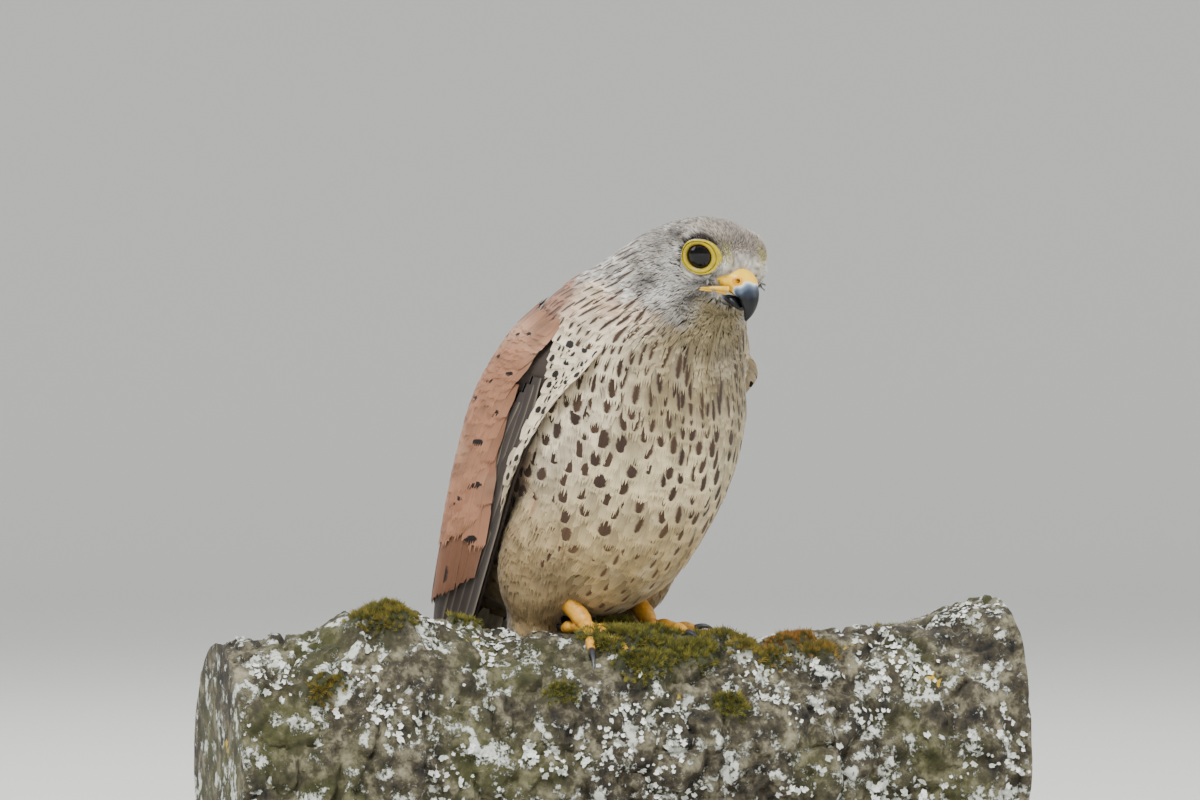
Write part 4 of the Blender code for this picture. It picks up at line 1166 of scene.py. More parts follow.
def wing_coverts(surface, rng):
    """The small and median coverts and the scapulars, spread over the wing's upper part."""
    def gap(flow, side):
        return 1.9 + 1.3 * smoothstep(0.6, 3.0, flow)

    roots = scatter(surface, (0.02, 3.5), (-0.2, 1.95), gap, 41, 16000)
    pale = roots[:, 1] < cream_limit(roots[:, 0] + 0.3)
    roots = roots[pale | (roots[:, 1] > rust_limit(roots[:, 0]))]
    pale = roots[:, 1] < cream_limit(roots[:, 0] + 0.3)
    count = len(roots)
    ahead = smoothstep(0.2, 3.2, roots[:, 0])
    length = np.where(pale, 10.5, 12 + 12 * ahead) * rng.uniform(0.85, 1.15, count)
    half = np.where(pale, 2.1, 2.3 + 2.0 * ahead) * rng.uniform(0.85, 1.15, count)
    ends = vane_ends(surface, roots, length, rng.normal(0, 0.07, count))
    ends[:, 1] -= 0.12 * pale
    lift = (rng.uniform(-0.05, 0.05, count) + 0.3 * pale)[:, None]
    long = length[:, None]

    def height(flow, c, r):
        return lift - 1.4 + 1.2 * r**0.8 - 0.01 * long * r**2 - 0.05 * half[:, None] * c**2

    laid, places, vane = lay_vanes(surface, COVERT_VANE, roots, ends, half, height, rng, jag=0.1, thick=0.1)
    where = surface.place(places[..., 0], places[..., 1])
    rusty = paint(
        "#9B6E54",
        ("#B48F74", smoothstep(-0.2, 1.2, PLUMAGE_NOISE.at(where, 14))),
        ("#6B4C3A", 0.7 * smoothstep(0.1, 1.0, PLUMAGE_NOISE.at(where + 50, 8))),
    )
    rusty = shade_vanes(vary(rusty, rng, 0.14), vane, 0.3)
    rooted = 0.1 + 0.45 * smoothstep(-0.1, 0.25, roots[:, 1:2])
    cream = shade_vanes(vary(plumage(where, np.full(where.shape[:2], 1.9)), rng, 0.22), vane, rooted)
    tint = np.where(pale[:, None, None], cream, rusty)
    gaps = np.where(pale, 4.6, 6.5 + 5 * ahead)
    has = choose_apart(where[:, 0], gaps, rng.permutation(count), np.ones(count, dtype=bool))
    size = rng.uniform(0.75, 1.25, count)
    streaked = pale & (rng.uniform(0, 1, count) < 0.4)
    width = np.where(has, np.where(pale, 0.75, 0.8) * size, np.where(streaked, 0.3 * size, 0))
    mark = mark_rows(width, np.where(pale, 0.6, 0.8), np.where(pale, 0.92, 0.97))
    return vane_batch(surface, COVERT_VANE, laid, vane, wing_map(roots), tint, linear("#1D1716"), mark)


def make_wing(name, sign, surface, material, core_material):
    """A folded wing: its long feathers in tiers under the coverts, over a thin core."""
    rng = np.random.default_rng(51 + sign)
    batches = [wing_tier(surface, tier, rng) for tier in WING_TIERS.values()]
    batches.append(wing_coverts(surface, rng))
    piece = gather("wing_" + name + "_feathers", batches, material)
    finish_piece(piece, "chestnut_feathers", "wing_" + name)
    # A thin core under the feathers in a dark finish: painted shade that shows in the gaps between them.
    run, side = np.meshgrid(np.linspace(0, 1, 90), np.linspace(-0.12, 2.0, 24), indexing="ij")
    flow = 0.15 + run * (np.interp(side, (-0.12, 0.6, 2.0), (7.4, 7.2, 6.2)) - 0.15)
    deep = np.interp(flow, (0, 1, 5, 8), (3.2, 3.4, 3.6, 1.8))
    normals = surface.normal(flow, side)
    outer = surface.place(flow, side) - normals * deep[..., None]
    inner = outer - normals * 1.2
    points, faces = closed_loft(np.concatenate([outer, inner[:, ::-1]], axis=1))
    core = mesh_object("wing_core_" + name, points, outward(points, faces), core_material)
    finish_piece(core, "chestnut_feathers")


def grid_faces(rows, columns, wrap):
    """Quads over a grid of rows and columns of points."""
    faces = []
    reach = columns if wrap else columns - 1
    for i in range(rows - 1):
        for k in range(reach):
            j = (k + 1) % columns
            faces.append((i * columns + k, i * columns + j, (i + 1) * columns + j, (i + 1) * columns + k))
    return faces


def halves(quads):
    """Quads cut into triangles."""
    return np.concatenate([quads[:, [0, 1, 2]], quads[:, [0, 2, 3]]])


def closed_loft(rings):
    """Points and triangles of a closed surface through rings, fanned shut at both ends."""
    rings = np.asarray(rings, dtype=float)
    rows, columns = rings.shape[:2]
    points = np.concatenate([rings.reshape(-1, 3), rings[:1].mean(axis=1), rings[-1:].mean(axis=1)])
    quads = np.array(grid_faces(rows, columns, True))
    triangles = halves(quads)
    k = np.arange(columns)
    j = (k + 1) % columns
    start = np.stack([j, k, np.full(columns, rows * columns)], axis=1)
    base = (rows - 1) * columns
    end = np.stack([base + k, base + j, np.full(columns, rows * columns + 1)], axis=1)
    return points, np.concatenate([triangles, start, end])


def outward(points, faces):
    """The faces, turned over if they enclose a negative volume."""
    a, b, c = (points[faces[:, k]] for k in range(3))
    volume = np.einsum("ij,ij->i", a, np.cross(b, c)).sum()
    return faces if volume > 0 else faces[:, ::-1]


def sweep(path, radii, sides, guide=(0, 0, 1)):
    """Rings of a round tube along a path, the first point of each ring toward the guide."""
    path = np.asarray(path, dtype=float)
    heading = np.gradient(path, axis=0)
    heading /= np.linalg.norm(heading, axis=1, keepdims=True)
    across = np.cross(heading, guide)
    across /= np.linalg.norm(across, axis=1, keepdims=True)
    over = np.cross(across, heading)
    turn = np.linspace(0, math.tau, sides, endpoint=False)
    spokes = over[:, None] * np.cos(turn)[None, :, None] + across[:, None] * np.sin(turn)[None, :, None]
    radii = np.asarray(radii, dtype=float)
    if radii.ndim == 1:
        radii = radii[:, None]
    return path[:, None] + spokes * radii[..., None]


def join_tubes(tubes):
    """Points and triangles of closed tubes, each given by its rings."""
    points = []
    faces = []
    offset = 0
    for rings in tubes:
        made, triangles = closed_loft(rings)
        faces.append(outward(made, triangles) + offset)
        points.append(made)
        offset += len(made)
    return np.concatenate(points), np.concatenate(faces)


def skin_material():
    """Skin under the coat, in the plumage's colours darkened as painted shade."""
    made, tree, shader = new_material("skin_under_plumage")
    looks = {
        "Base Color": attribute_of(tree, "tint"),
        "Normal": bump_of(tree, noise_of(tree, 500.0, 3.0), 0.0005),
        "Roughness": 0.9,
    }
    feed(tree, shader, looks)
    return made


def make_skin(material):
    """One skin for head, neck, torso and thighs, inside their solids by the coat's depth."""
    surface = body_surface(-SKIN_DEPTH)
    rows = surface.points[2 : 16 * 16 + 1 : 2, ::2]
    angles = surface.sides[::2]
    points, faces = closed_loft(rows)
    angle = np.concatenate([np.tile(angles, len(rows)), [0, 0]])
    # The plumage's colours at three quarters: painted shade under the coat.
    tint = plumage(points, angle) * 0.75
    skin = mesh_object("skin", points, outward(points, faces), material, colours={"tint": tint})
    cutters = bpy.data.collections.new("thighs_under_skin")
    bpy.context.scene.collection.children.link(cutters)
    thighs = []
    for sign in (1, -1):
        thigh = thigh_surface(sign, -SKIN_DEPTH)
        thigh_points, thigh_faces = closed_loft(thigh.points[::4, ::4])
        tint = even_tint("#B79B78", thigh_points)
        made = mesh_object(
            "thigh_skin", thigh_points, outward(thigh_points, thigh_faces), material, colours={"tint": tint}
        )
        bpy.context.scene.collection.objects.unlink(made)
        cutters.objects.link(made)
        thighs.append(made)
    modifier = skin.modifiers.new("join", "BOOLEAN")
    modifier.operation = "UNION"
    modifier.solver = "MANIFOLD"
    modifier.operand_type = "COLLECTION"
    modifier.collection = cutters
    graph = bpy.context.evaluated_depsgraph_get()
    joined = bpy.data.meshes.new_from_object(skin.evaluated_get(graph))
    skin.modifiers.clear()
    skin.data = joined
    for thigh in thighs:
        bpy.data.objects.remove(thigh)
    bpy.data.collections.remove(cutters)
    return finish_piece(skin, "cream_spotted_feathers", "head", "neck", "torso", "thigh_left", "thigh_right")


def thigh_coat(sign, name, material):
    """The long soft feathers of a thigh, from the flank down past the heel."""
    surface = thigh_surface(sign, 0, THIGH_COAT, THIGH_COAT_RADII)
    roots = scatter(surface, (0.2, 4.95), (0, math.tau), lambda flow, side: 1.9, 61 + sign, 14000)
    rng = np.random.default_rng(63 + sign)
    count = len(roots)
    length = 14.5 * rng.uniform(0.8, 1.25, count)
    half = 2.4 * rng.uniform(0.85, 1.15, count)
    ends = vane_ends(surface, roots, length, rng.normal(0, 0.09, count))
    long = length[:, None]
    lift = rng.uniform(-0.25, 0.25, (count, 1))

    def height(flow, c, r):
        return lift - 2.4 + 2.7 * r**0.7 - 0.03 * long * r**2 - 0.15 * half[:, None] * c**2

    laid, _, vane = lay_vanes(surface, BODY_VANE, roots, ends, half, height, rng, jag=0.3)
    drop = np.clip(ends[:, 0:1] * vane[..., 1] + roots[:, 0:1] * (1 - vane[..., 1]) - 5, 0, None)
    laid[..., 2] -= drop * 7.5
    angle = math.pi - np.arctan2(np.abs(laid[..., 0]), 8 - laid[..., 1])
    tint = shade_vanes(vary(plumage(laid, angle), rng, 0.2), vane, 0.5)
    has = rng.uniform(0, 1, count) < 0.13
    mark = mark_rows(np.where(has, 0.3 * rng.uniform(0.7, 1.3, count), 0), 0.3, 0.8)
    root_map = np.stack([roots[:, 1] / math.tau, roots[:, 0] / 5], axis=1) * 0.98 + 0.01
    batch = vane_batch(surface, BODY_VANE, laid, vane, root_map, tint, linear("#4A3226"), mark)
    return finish_piece(gather(name, [batch], material), "cream_spotted_feathers")


def tail_fan(upper, rng):
    """The twelve long tail feathers as a batch, each pair a little under the last."""
    starts = []
    ends = []
    levels = []
    for pair in range(6):
        length = 1.0 - 0.021 * max(pair - 0.4, 0)
        for side in (1, -1):
            starts.append((0.05, side * (0.06 + 0.075 * pair)))
            ends.append((length, side * (0.10 + 0.118 * pair)))
            levels.append(0.62 * (5 - pair) - (0.3 if side < 0 and pair == 0 else 0) - 4.6)
    starts = np.array(starts)
    levels = np.array(levels)[:, None]
    half = np.full(12, 7.4)

    def height(flow, c, r):
        return levels + 0 * c

    laid, _, vane = lay_vanes(
        upper, TAIL_VANE, starts, np.array(ends), half, height, rng, jag=0.004, root_width=0.5, thick=0.42
    )
    down = vane[..., 1]
    band, tip = smoothstep(0.8, 0.815, down), smoothstep(0.95, 0.965, down)
    tint = vary(paint("#7F848D", ("#201D1F", band), ("#E8E4DA", tip)), rng, 0.04)
    root_map = np.stack([starts[:, 1] * 0.8 + 0.5, np.full(12, 0.02)], axis=1)
    return vane_batch(upper, TAIL_VANE, laid, vane, root_map, tint, linear("#2A2728"), np.zeros(3))


def tail_coverts(surface, seed, code, last, rng):
    """The coverts over or under the tail's root as a batch."""
    roots = scatter(surface, (0.0, last), (-1.0, 1.0), lambda flow, side: 3.4, seed, 3000)
    count = len(roots)
    ends = vane_ends(surface, roots, 17 * rng.uniform(0.9, 1.2, count), 0)
    half = 4.2 * rng.uniform(0.9, 1.1, count)

    def height(flow, c, r):
        return -1.8 + 2.0 * r**0.8 - 0.12 * 4.2 * c**2

    laid, _, vane = lay_vanes(surface, COVERT_VANE, roots, ends, half, height, rng, jag=0.06)
    tint = vary(even_tint(code, laid), rng, 0.06)
    root_map = np.stack([roots[:, 1] * 0.4 + 0.5, 0.1 + roots[:, 0] * 4], axis=1)
    return vane_batch(surface, COVERT_VANE, laid, vane, root_map, tint, linear("#3A3230"), np.zeros(3))


def make_tail(material):
    """The tail: twelve feathers with a black band, and the coverts over and under its root."""
    rng = np.random.default_rng(71)
    upper = tail_surface(True)
    batches = [tail_fan(upper, rng)]
    batches.append(tail_coverts(upper, 72, "#8F9299", 0.06, rng))
    batches.append(tail_coverts(tail_surface(False), 73, "#D8CBB2", 0.2, rng))
    return finish_piece(gather("tail_feathers", batches, material), "tail_feathers", "tail")


def eye_material():
    """A dark brown iris and a black pupil under a wet cornea."""
    made, tree, shader = new_material("wet_dark_eye")
    away = add_node(tree, "ShaderNodeUVMap", {"uv_map": "Iris"}).outputs["UV"]
    radius = add_node(tree, "ShaderNodeSeparateXYZ", links={0: away}).outputs["X"]
    looks = {
        "Base Color": ramp_of(tree, radius, (0.5, "#040303"), (0.56, "#1E120C")),
        "Roughness": 0.05,
        "Specular IOR Level": 0.2,
        "Coat Weight": 0.2,
        "Coat Roughness": 0.02,
    }
    feed(tree, shader, looks)
    return made


def eye_ball(sign, segments, rings):
    """An eyeball as a closed sphere whose pole looks out, with each point's way off the pole."""
    rows = []
    polars = np.linspace(0, math.pi, rings + 1)[1:-1]
    around = np.linspace(0, math.tau, segments, endpoint=False)
    for polar in polars:
        reach = EYE_RADIUS * math.sin(polar)
        out = np.full(segments, EYE_RADIUS * math.cos(polar))
        rows.append(eye_point(sign, reach * np.cos(around), reach * np.sin(around), out))
    away = np.concatenate([np.repeat(np.sin(polars), segments), [0, 0]])
    return *closed_loft(rows), away


def make_eyes(material):
    """Both eyeballs, in the sockets of the solids."""
    for name, sign in SIDES:
        points, faces, away = eye_ball(sign, 64, 40)
        iris = [("Iris", np.stack([away, np.zeros(len(away))], axis=1))]
        piece = mesh_object("eyeball_" + name, points, outward(points, faces), material, layers=iris)
        finish_piece(piece, "dark_wet_eye", "eye_" + name)


def bare_skin_material(name, bumps, depth, roughness):
    """Bare skin in its tint, with fine pimples and a slight wet shine."""
    made, tree, shader = new_material(name)
    place = add_node(tree, "ShaderNodeTexCoord").outputs["Object"]
    cells = add_node(tree, "ShaderNodeTexVoronoi", links={"Vector": place, "Scale": bumps})
    looks = {
        "Base Color": shaded_tint(tree, noise_of(tree, 600.0, 4.0), 0.7, 0.65),
        "Normal": bump_of(tree, cells.outputs["Distance"], depth, 0.6),
        "Roughness": roughness,
        "Subsurface Weight": 0.08,
        "Subsurface Radius": (0.001, 0.0006, 0.0003),
    }
    feed(tree, shader, looks)
    return made


def make_eye_rings(material):
    """The bare yellow ring of skin round each eye: an inner rim and a wider outer fold."""
    # The shades are painted shade in the ring's creases and under its outer fold.
    shades = np.array([RING_SHADES.get(k, 0.0) for k in range(len(RING_PROFILE))])
    tints = paint("#AE9A00", ("#2B2417", shades))
    reach, out, share = np.array(RING_PROFILE).T
    turns = np.linspace(0, math.tau, 160, endpoint=False)[:, None]
    fold = -1.2 + 2.1 * np.maximum(np.cos(turns - math.radians(30)), 0) ** 2 + 0.1 * np.sin(5 * turns)
    far = reach + share * fold
    out = out + 0.05 * np.sin(26 * turns) * share
    rows, columns = far.shape
    faces = halves(np.array(grid_faces(rows + 1, columns, True)) % far.size)
    for name, sign in SIDES:
        rings = eye_point(sign, far * 1.03 * np.cos(turns), far * np.sin(turns), out)
        points = rings.reshape(-1, 3)
        tint = {"tint": np.tile(tints, (rows, 1))}
        piece = mesh_object("eye_ring_" + name, points, outward(points, faces), material, colours=tint)
        finish_piece(piece, "yellow_skin")


def bill_material():
    """Horn in its tint: waxy over the cere and polished toward the tip."""
    made, tree, shader = new_material("bill_horn_and_cere")
    cloud = noise_of(tree, 500.0, 4.0)
    looks = {
        "Base Color": shaded_tint(tree, cloud, 0.3, 0.85),
        "Normal": bump_of(tree, cloud, 0.00012, 0.35),
        "Roughness": 0.4,
        "Specular IOR Level": 0.3,
        "Coat Weight": 0.08,
        "Coat Roughness": 0.2,
    }
    feed(tree, shader, looks)
    return made


def bill_rings(rows, steps, sides, shape):
    """Rings along half of the bill, each point moved out by shape(share, around)."""
    places = np.linspace(0, len(rows) - 1, steps)
    table = catmull(np.array(rows, dtype=float), places)
    heading = np.gradient(table[:, :2], axis=0)
    heading /= np.linalg.norm(heading, axis=1, keepdims=True)
    share = places[:, None] / (len(rows) - 1)
    around = np.linspace(0, math.tau, sides, endpoint=False)[None, :]
    swell = shape(share, around)
    over = table[:, 2:3] * swell * np.cos(around)
    side = table[:, 3:4] * swell * np.sin(around)
    ahead = table[:, 0:1] - heading[:, 1:2] * over
    up = table[:, 1:2] + heading[:, 0:1] * over
    return ahead, up, side, np.broadcast_to(share, over.shape)


def make_bill(material):
    """Both halves of the bill: swollen cere with its nostrils, toothed edge and hooked tip."""
    noise = Noise(5)

    def upper_shape(share, around):
        below = np.clip(-np.cos(around), 0, 1)
        cere = 0.05 * smoothstep(0.44, 0.38, share)
        tooth = 0.14 * below * bell(share, 0.72, 0.04) * np.abs(np.sin(around))
        pinch = 0.1 * np.clip(np.cos(around), 0, 1) ** 2 * smoothstep(0.1, 0.5, share)
        return 1 + cere + tooth - pinch

    def lower_shape(share, around):
        return 1 + 0 * around - 0.1 * np.clip(np.cos(around), 0, 1) * share

    stops = (0.41, 0.43, 0.455, 0.49, 0.55, 0.63, 1.2)
    codes = ("#F0C028", "#E2DEC8", "#A9B6C4", "#5E6C80", "#262D3A", "#0D0E11", "#08090A")
    colours = np.array([linear(code) for code in codes])
    parts = (("bill_upper", BILL_UPPER, upper_shape), ("bill_lower", BILL_LOWER, lower_shape))
    for name, rows, shape in parts:
        ahead, up, side, share = bill_rings(rows, 110, 88, shape)
        run = share + 0.05 * noise.at(np.stack([ahead, up, side], axis=-1), 2.5)
        if name == "bill_lower":
            run = 0.12 + 0.9 * run
        tint = np.stack([np.interp(run, stops, colours[:, k]) for k in range(3)], axis=-1)
        if name == "bill_lower":
            tint = blend(tint, linear("#DDB04A"), smoothstep(0.5, 0.35, run))
        else:
            from_hole = np.hypot(ahead - NOSTRIL_AT[0], up - NOSTRIL_AT[1])
            hole = smoothstep(0.95, 0.6, from_hole) * (np.abs(side) > 2)
            rim = bell(from_hole, 1.25, 0.35) * (np.abs(side) > 2)
            side = side * (1 - 0.34 * hole * smoothstep(0.1, 0.45, from_hole) + 0.035 * rim)
            # The nostril's shallow dent is painted dark red-brown as painted shade of a deep hole; the
            # orange rim is its own colour.
            tint = blend(tint, linear("#2A0E08"), hole * smoothstep(0.1, 0.3, from_hole))
            tint = blend(tint, linear("#C8641C"), 0.8 * rim)
        points, faces = closed_loft(head_point(ahead, up, side))
        tint = {"tint": np.concatenate([tint.reshape(-1, 3), tint[0, :1], tint[-1, :1]])}
        piece = mesh_object(name + "_horn", points, outward(points, faces), material, colours=tint)
        finish_piece(piece, "horn_bill", name)


def perch_surface_radius(along, angle):
    """The branch's radius in the solids."""
    rough = 1 - np.exp(-((along / PERCH_CALM) ** 4))
    waves = (np.sin(along / 19), np.sin(along / 11 + 2 * angle), np.sin(3 * angle + along / 30))
    return PERCH_RADIUS + rough * sum(swell * wave for swell, wave in zip(PERCH_SWELLS, waves))


def perch_place(along, angle, radius):
    """A point on the branch: along its axis, round from its top, out from its middle."""
    turn = math.radians(PERCH_TURN)
    across = radius * np.sin(angle) - PERCH_AHEAD
    x = along * math.cos(turn) - across * math.sin(turn)
    y = along * math.sin(turn) + across * math.cos(turn)
    return np.stack(np.broadcast_arrays(x, y, radius * np.cos(angle) - PERCH_RADIUS), axis=-1)


def bark_material():
    """Old bark: dark cracks, grey-brown ridges, green algae and thin pale lichen."""
    made, tree, shader = new_material("mossy_lichened_bark")

    # Grain about 8 mm across, algae patches about 40 mm and lichen crusts about 9 mm.
    rough = noise_of(tree, 120.0, 8.0, 0.7)
    algae = ramp_of(tree, noise_of(tree, 26.0, 4.0, 0.6), (0.48, "#000000"), (0.64, "#B0B0B0"))
    crust = ramp_of(tree, noise_of(tree, 105.0, 9.0, 0.75), (0.54, "#000000"), (0.57, "#FFFFFF"))
    yellow = ramp_of(tree, noise_of(tree, 34.0, 6.0, 0.7), (0.66, "#000000"), (0.68, "#FFFFFF"))
    moss = attribute_of(tree, "moss", "Fac")
    bark = ramp_of(tree, rough, (0.36, "#0F0D09"), (0.5, "#403A2B"), (0.66, "#8A846C"))
    for share, code in ((algae, "#4E5220"), (crust, "#C9CCC0"), (yellow, "#B79A2C"), (moss, "#2C3012")):
        bark = mix_of(tree, share, bark, rgba(code))
    links = {0: crust, 1: 0.35, 2: rough}
    height = add_node(tree, "ShaderNodeMath", {"operation": "MULTIPLY_ADD"}, links).outputs[0]
    feed(tree, shader, {"Base Color": bark, "Normal": bump_of(tree, height, 0.0018), "Roughness": 0.93})
    return made


# Cushions of moss on the branch: along it, round from its top in degrees, their reach
# along it in mm, and how brown their tips are.
MOSS_CUSHIONS = [
    (4, -42, 14, 0.1),
    (22, -34, 15, 0.1),
    (34, -20, 12, 0.2),
    (2, 4, 12, 0.1),
    (-10, -17, 11, 0.1),
    (3, -19, 12, 0.1),
    (16, -15, 11, 0.1),
    (-8, -28, 9, 0.1),
    (9, -27, 10, 0.1),
    (50, -30, 15, 0.3),
    (66, -16, 12, 0.9),
    (74, -30, 10, 0.5),
    (-93, -22, 15, 0.2),
    (-56, 2, 8, 0.1),
    (-30, -58, 9, 0.1),
    (34, -64, 10, 0.1),
    (-118, -52, 9, 0.3),
    (112, 24, 14, 0.2),
    (-20, 60, 16, 0.1),
    (80, 110, 14, 0.2),
    (-90, 95, 15, 0.2),
]

# The branch's top edge in the photo: along the branch and up from the feet's level, mm.
PERCH_CONTOUR = [
    (-150, 1),
    (-118, -3),
    (-102, 6),
    (-86, 11),
    (-70, 6),
    (-60, 2),
    (-34, 0),
    (46, 0),
    (52, -5),
    (70, -2),
    (97, 2),
    (112, 3),
    (150, 10),
]


def moss_cover(along, angle):
    """How thick the moss is on the branch, from 0 to 1, and how brown."""
    cover = np.zeros(np.broadcast(along, angle).shape)
    brown = np.zeros(cover.shape)
    for place, turn, reach, rust in MOSS_CUSHIONS:
        round_by = (angle - math.radians(turn) + math.pi) % math.tau - math.pi
        off = np.hypot((along - place) / reach, round_by * PERCH_RADIUS / (0.62 * reach))
        share = smoothstep(1.15, 0.45, off)
        brown = np.where(share > cover, rust, brown)
        cover = np.maximum(cover, share)
    return cover, brown


def make_branch(bark, moss, flakes):
    """The cut branch with rough bark, moss cushions, lichen flakes and both sawn ends."""
    noise = Noise(81)
    along = np.linspace(-PERCH_LENGTH / 2, PERCH_LENGTH / 2, 330)
    angle = np.linspace(0, math.tau, 240, endpoint=False)
    a, t = np.meshgrid(along, angle, indexing="ij")
    radius = perch_surface_radius(a, t)
    smooth = perch_place(a, t, radius)
    ridges = np.abs(noise.fractal(smooth * np.array([1, 1, 0.8]), 13, 4))
    fine = noise.fractal(smooth, 3.2, 2)
    relief = 1.4 - 3.8 * (1 - smoothstep(0.0, 0.5, ridges)) + 0.8 * fine
    ends = smoothstep(PERCH_LENGTH / 2, PERCH_LENGTH / 2 - 4, np.abs(a))
    toes = np.exp(-((smooth[..., 0] / 34) ** 4) - ((smooth[..., 1] + 10) / 26) ** 4) * (np.cos(t) > 0)
    relief = np.where(relief > 0, relief * (1 - toes), relief)
    contour = np.array(PERCH_CONTOUR)
    edge = np.interp(a, contour[:, 0], contour[:, 1]) * smoothstep(0.35, 0.95, np.cos(t))
    ragged = noise.fractal(smooth + 60, 7, 3)
    cover, brown = moss_cover(a + 2.5 * ragged, t + 0.06 * ragged)
    cushion = cover * (3.6 - 1.2 * toes + 3.0 * bell(a, 2, 15)) * (1 + 0.25 * ragged)
    radius = radius + relief * (0.3 + 0.7 * ends) * (1 - 0.7 * cover) + edge + cushion * ends
    shell = perch_place(a, t, radius)
    rings = list(shell)
    reaches = (0.97, 0.8, 0.55, 0.3, 0.1)
    for side, index in ((-1, 0), (1, -1)):
        inner = [perch_place(side * PERCH_LENGTH / 2, angle, radius[index] * reach) for reach in reaches]
        rings = inner[::-1] + rings if side < 0 else rings + inner
    points, faces = closed_loft(rings)
    masked = np.zeros(len(points))
    masked[len(reaches) * 240 : len(reaches) * 240 + cover.size] = cover.ravel()
    piece = mesh_object("branch_bark", points, outward(points, faces), bark, values={"moss": masked})
    finish_piece(piece, "mossy_bark", "perch_branch")
    quads = np.array(grid_faces(330, 240, True))
    white = smoothstep(0.05, 0.3, noise.fractal(smooth + 90, 15, 3)) * (1 - cover) * (1 - 0.8 * toes) * ends
    beds = (
        ("moss_shoots", cover**2 * ends, moss_shoot(), moss, 0.62e6, (0.7, 1.35), 3),
        ("lichen_flakes", white, lichen_flake(), flakes, 0.085e6, (0.5, 1.5), 4),
    )
    for name, share, shape, material, density, sizes, seed in beds:
        values = {"cover": share.ravel(), "brown": brown.ravel()}
        bed = mesh_object(name, shell.reshape(-1, 3), quads[:, ::-1], material, values=values)
        strew(bed, shape, material, density, sizes, seed)
        finish_piece(bed, "mossy_bark")


def moss_shoot():
    """One shoot of moss: seven thin leaves that spread from a point, two millimetres high."""
    points = []
    faces = []
    for leaf in range(7):
        turn = math.tau * leaf / 6
        lean = 0.9 if leaf < 6 else 0.0
        high = 1.5 if leaf < 6 else 2.4
        tip = Vector((lean * math.cos(turn), lean * math.sin(turn), high)) * MM
        foot = Vector((0.25 * lean * math.cos(turn), 0.25 * lean * math.sin(turn), -0.3)) * MM
        start = len(points)
        for corner in range(3):
            spoke = turn + math.tau * corner / 3
            points.append(foot + Vector((math.cos(spoke), math.sin(spoke), 0)) * 0.26 * MM)
        points.append(tip)
        faces += [(start, start + 1, start + 3), (start + 1, start + 2, start + 3)]
        faces += [(start + 2, start, start + 3), (start + 2, start + 1, start)]
    mesh = bpy.data.meshes.new("moss_shoot")
    mesh.from_pydata(points, [], faces)
    return bpy.data.objects.new("moss_shoot", mesh)


def lichen_flake():
    """One lobed lichen flake, two millimetres across, with its rim lifted."""
    points = [(0, 0, 0.25 * MM), (0, 0, -0.1 * MM)]
    faces = []
    lobes = 11
    for k in range(lobes):
        turn = math.tau * k / lobes
        reach = (1.0 + 0.3 * math.sin(2.7 * k) - 0.22 * (k % 2)) * MM
        points.append((reach * math.cos(turn), reach * math.sin(turn), (0.3 + 0.15 * (k % 3)) * MM))
        n = 2 + (k + 1) % lobes
        faces += [(0, 2 + k, n), (1, n, 2 + k)]
    mesh = bpy.data.meshes.new("lichen_flake")
    mesh.from_pydata(points, [], faces)
    return bpy.data.objects.new("lichen_flake", mesh)


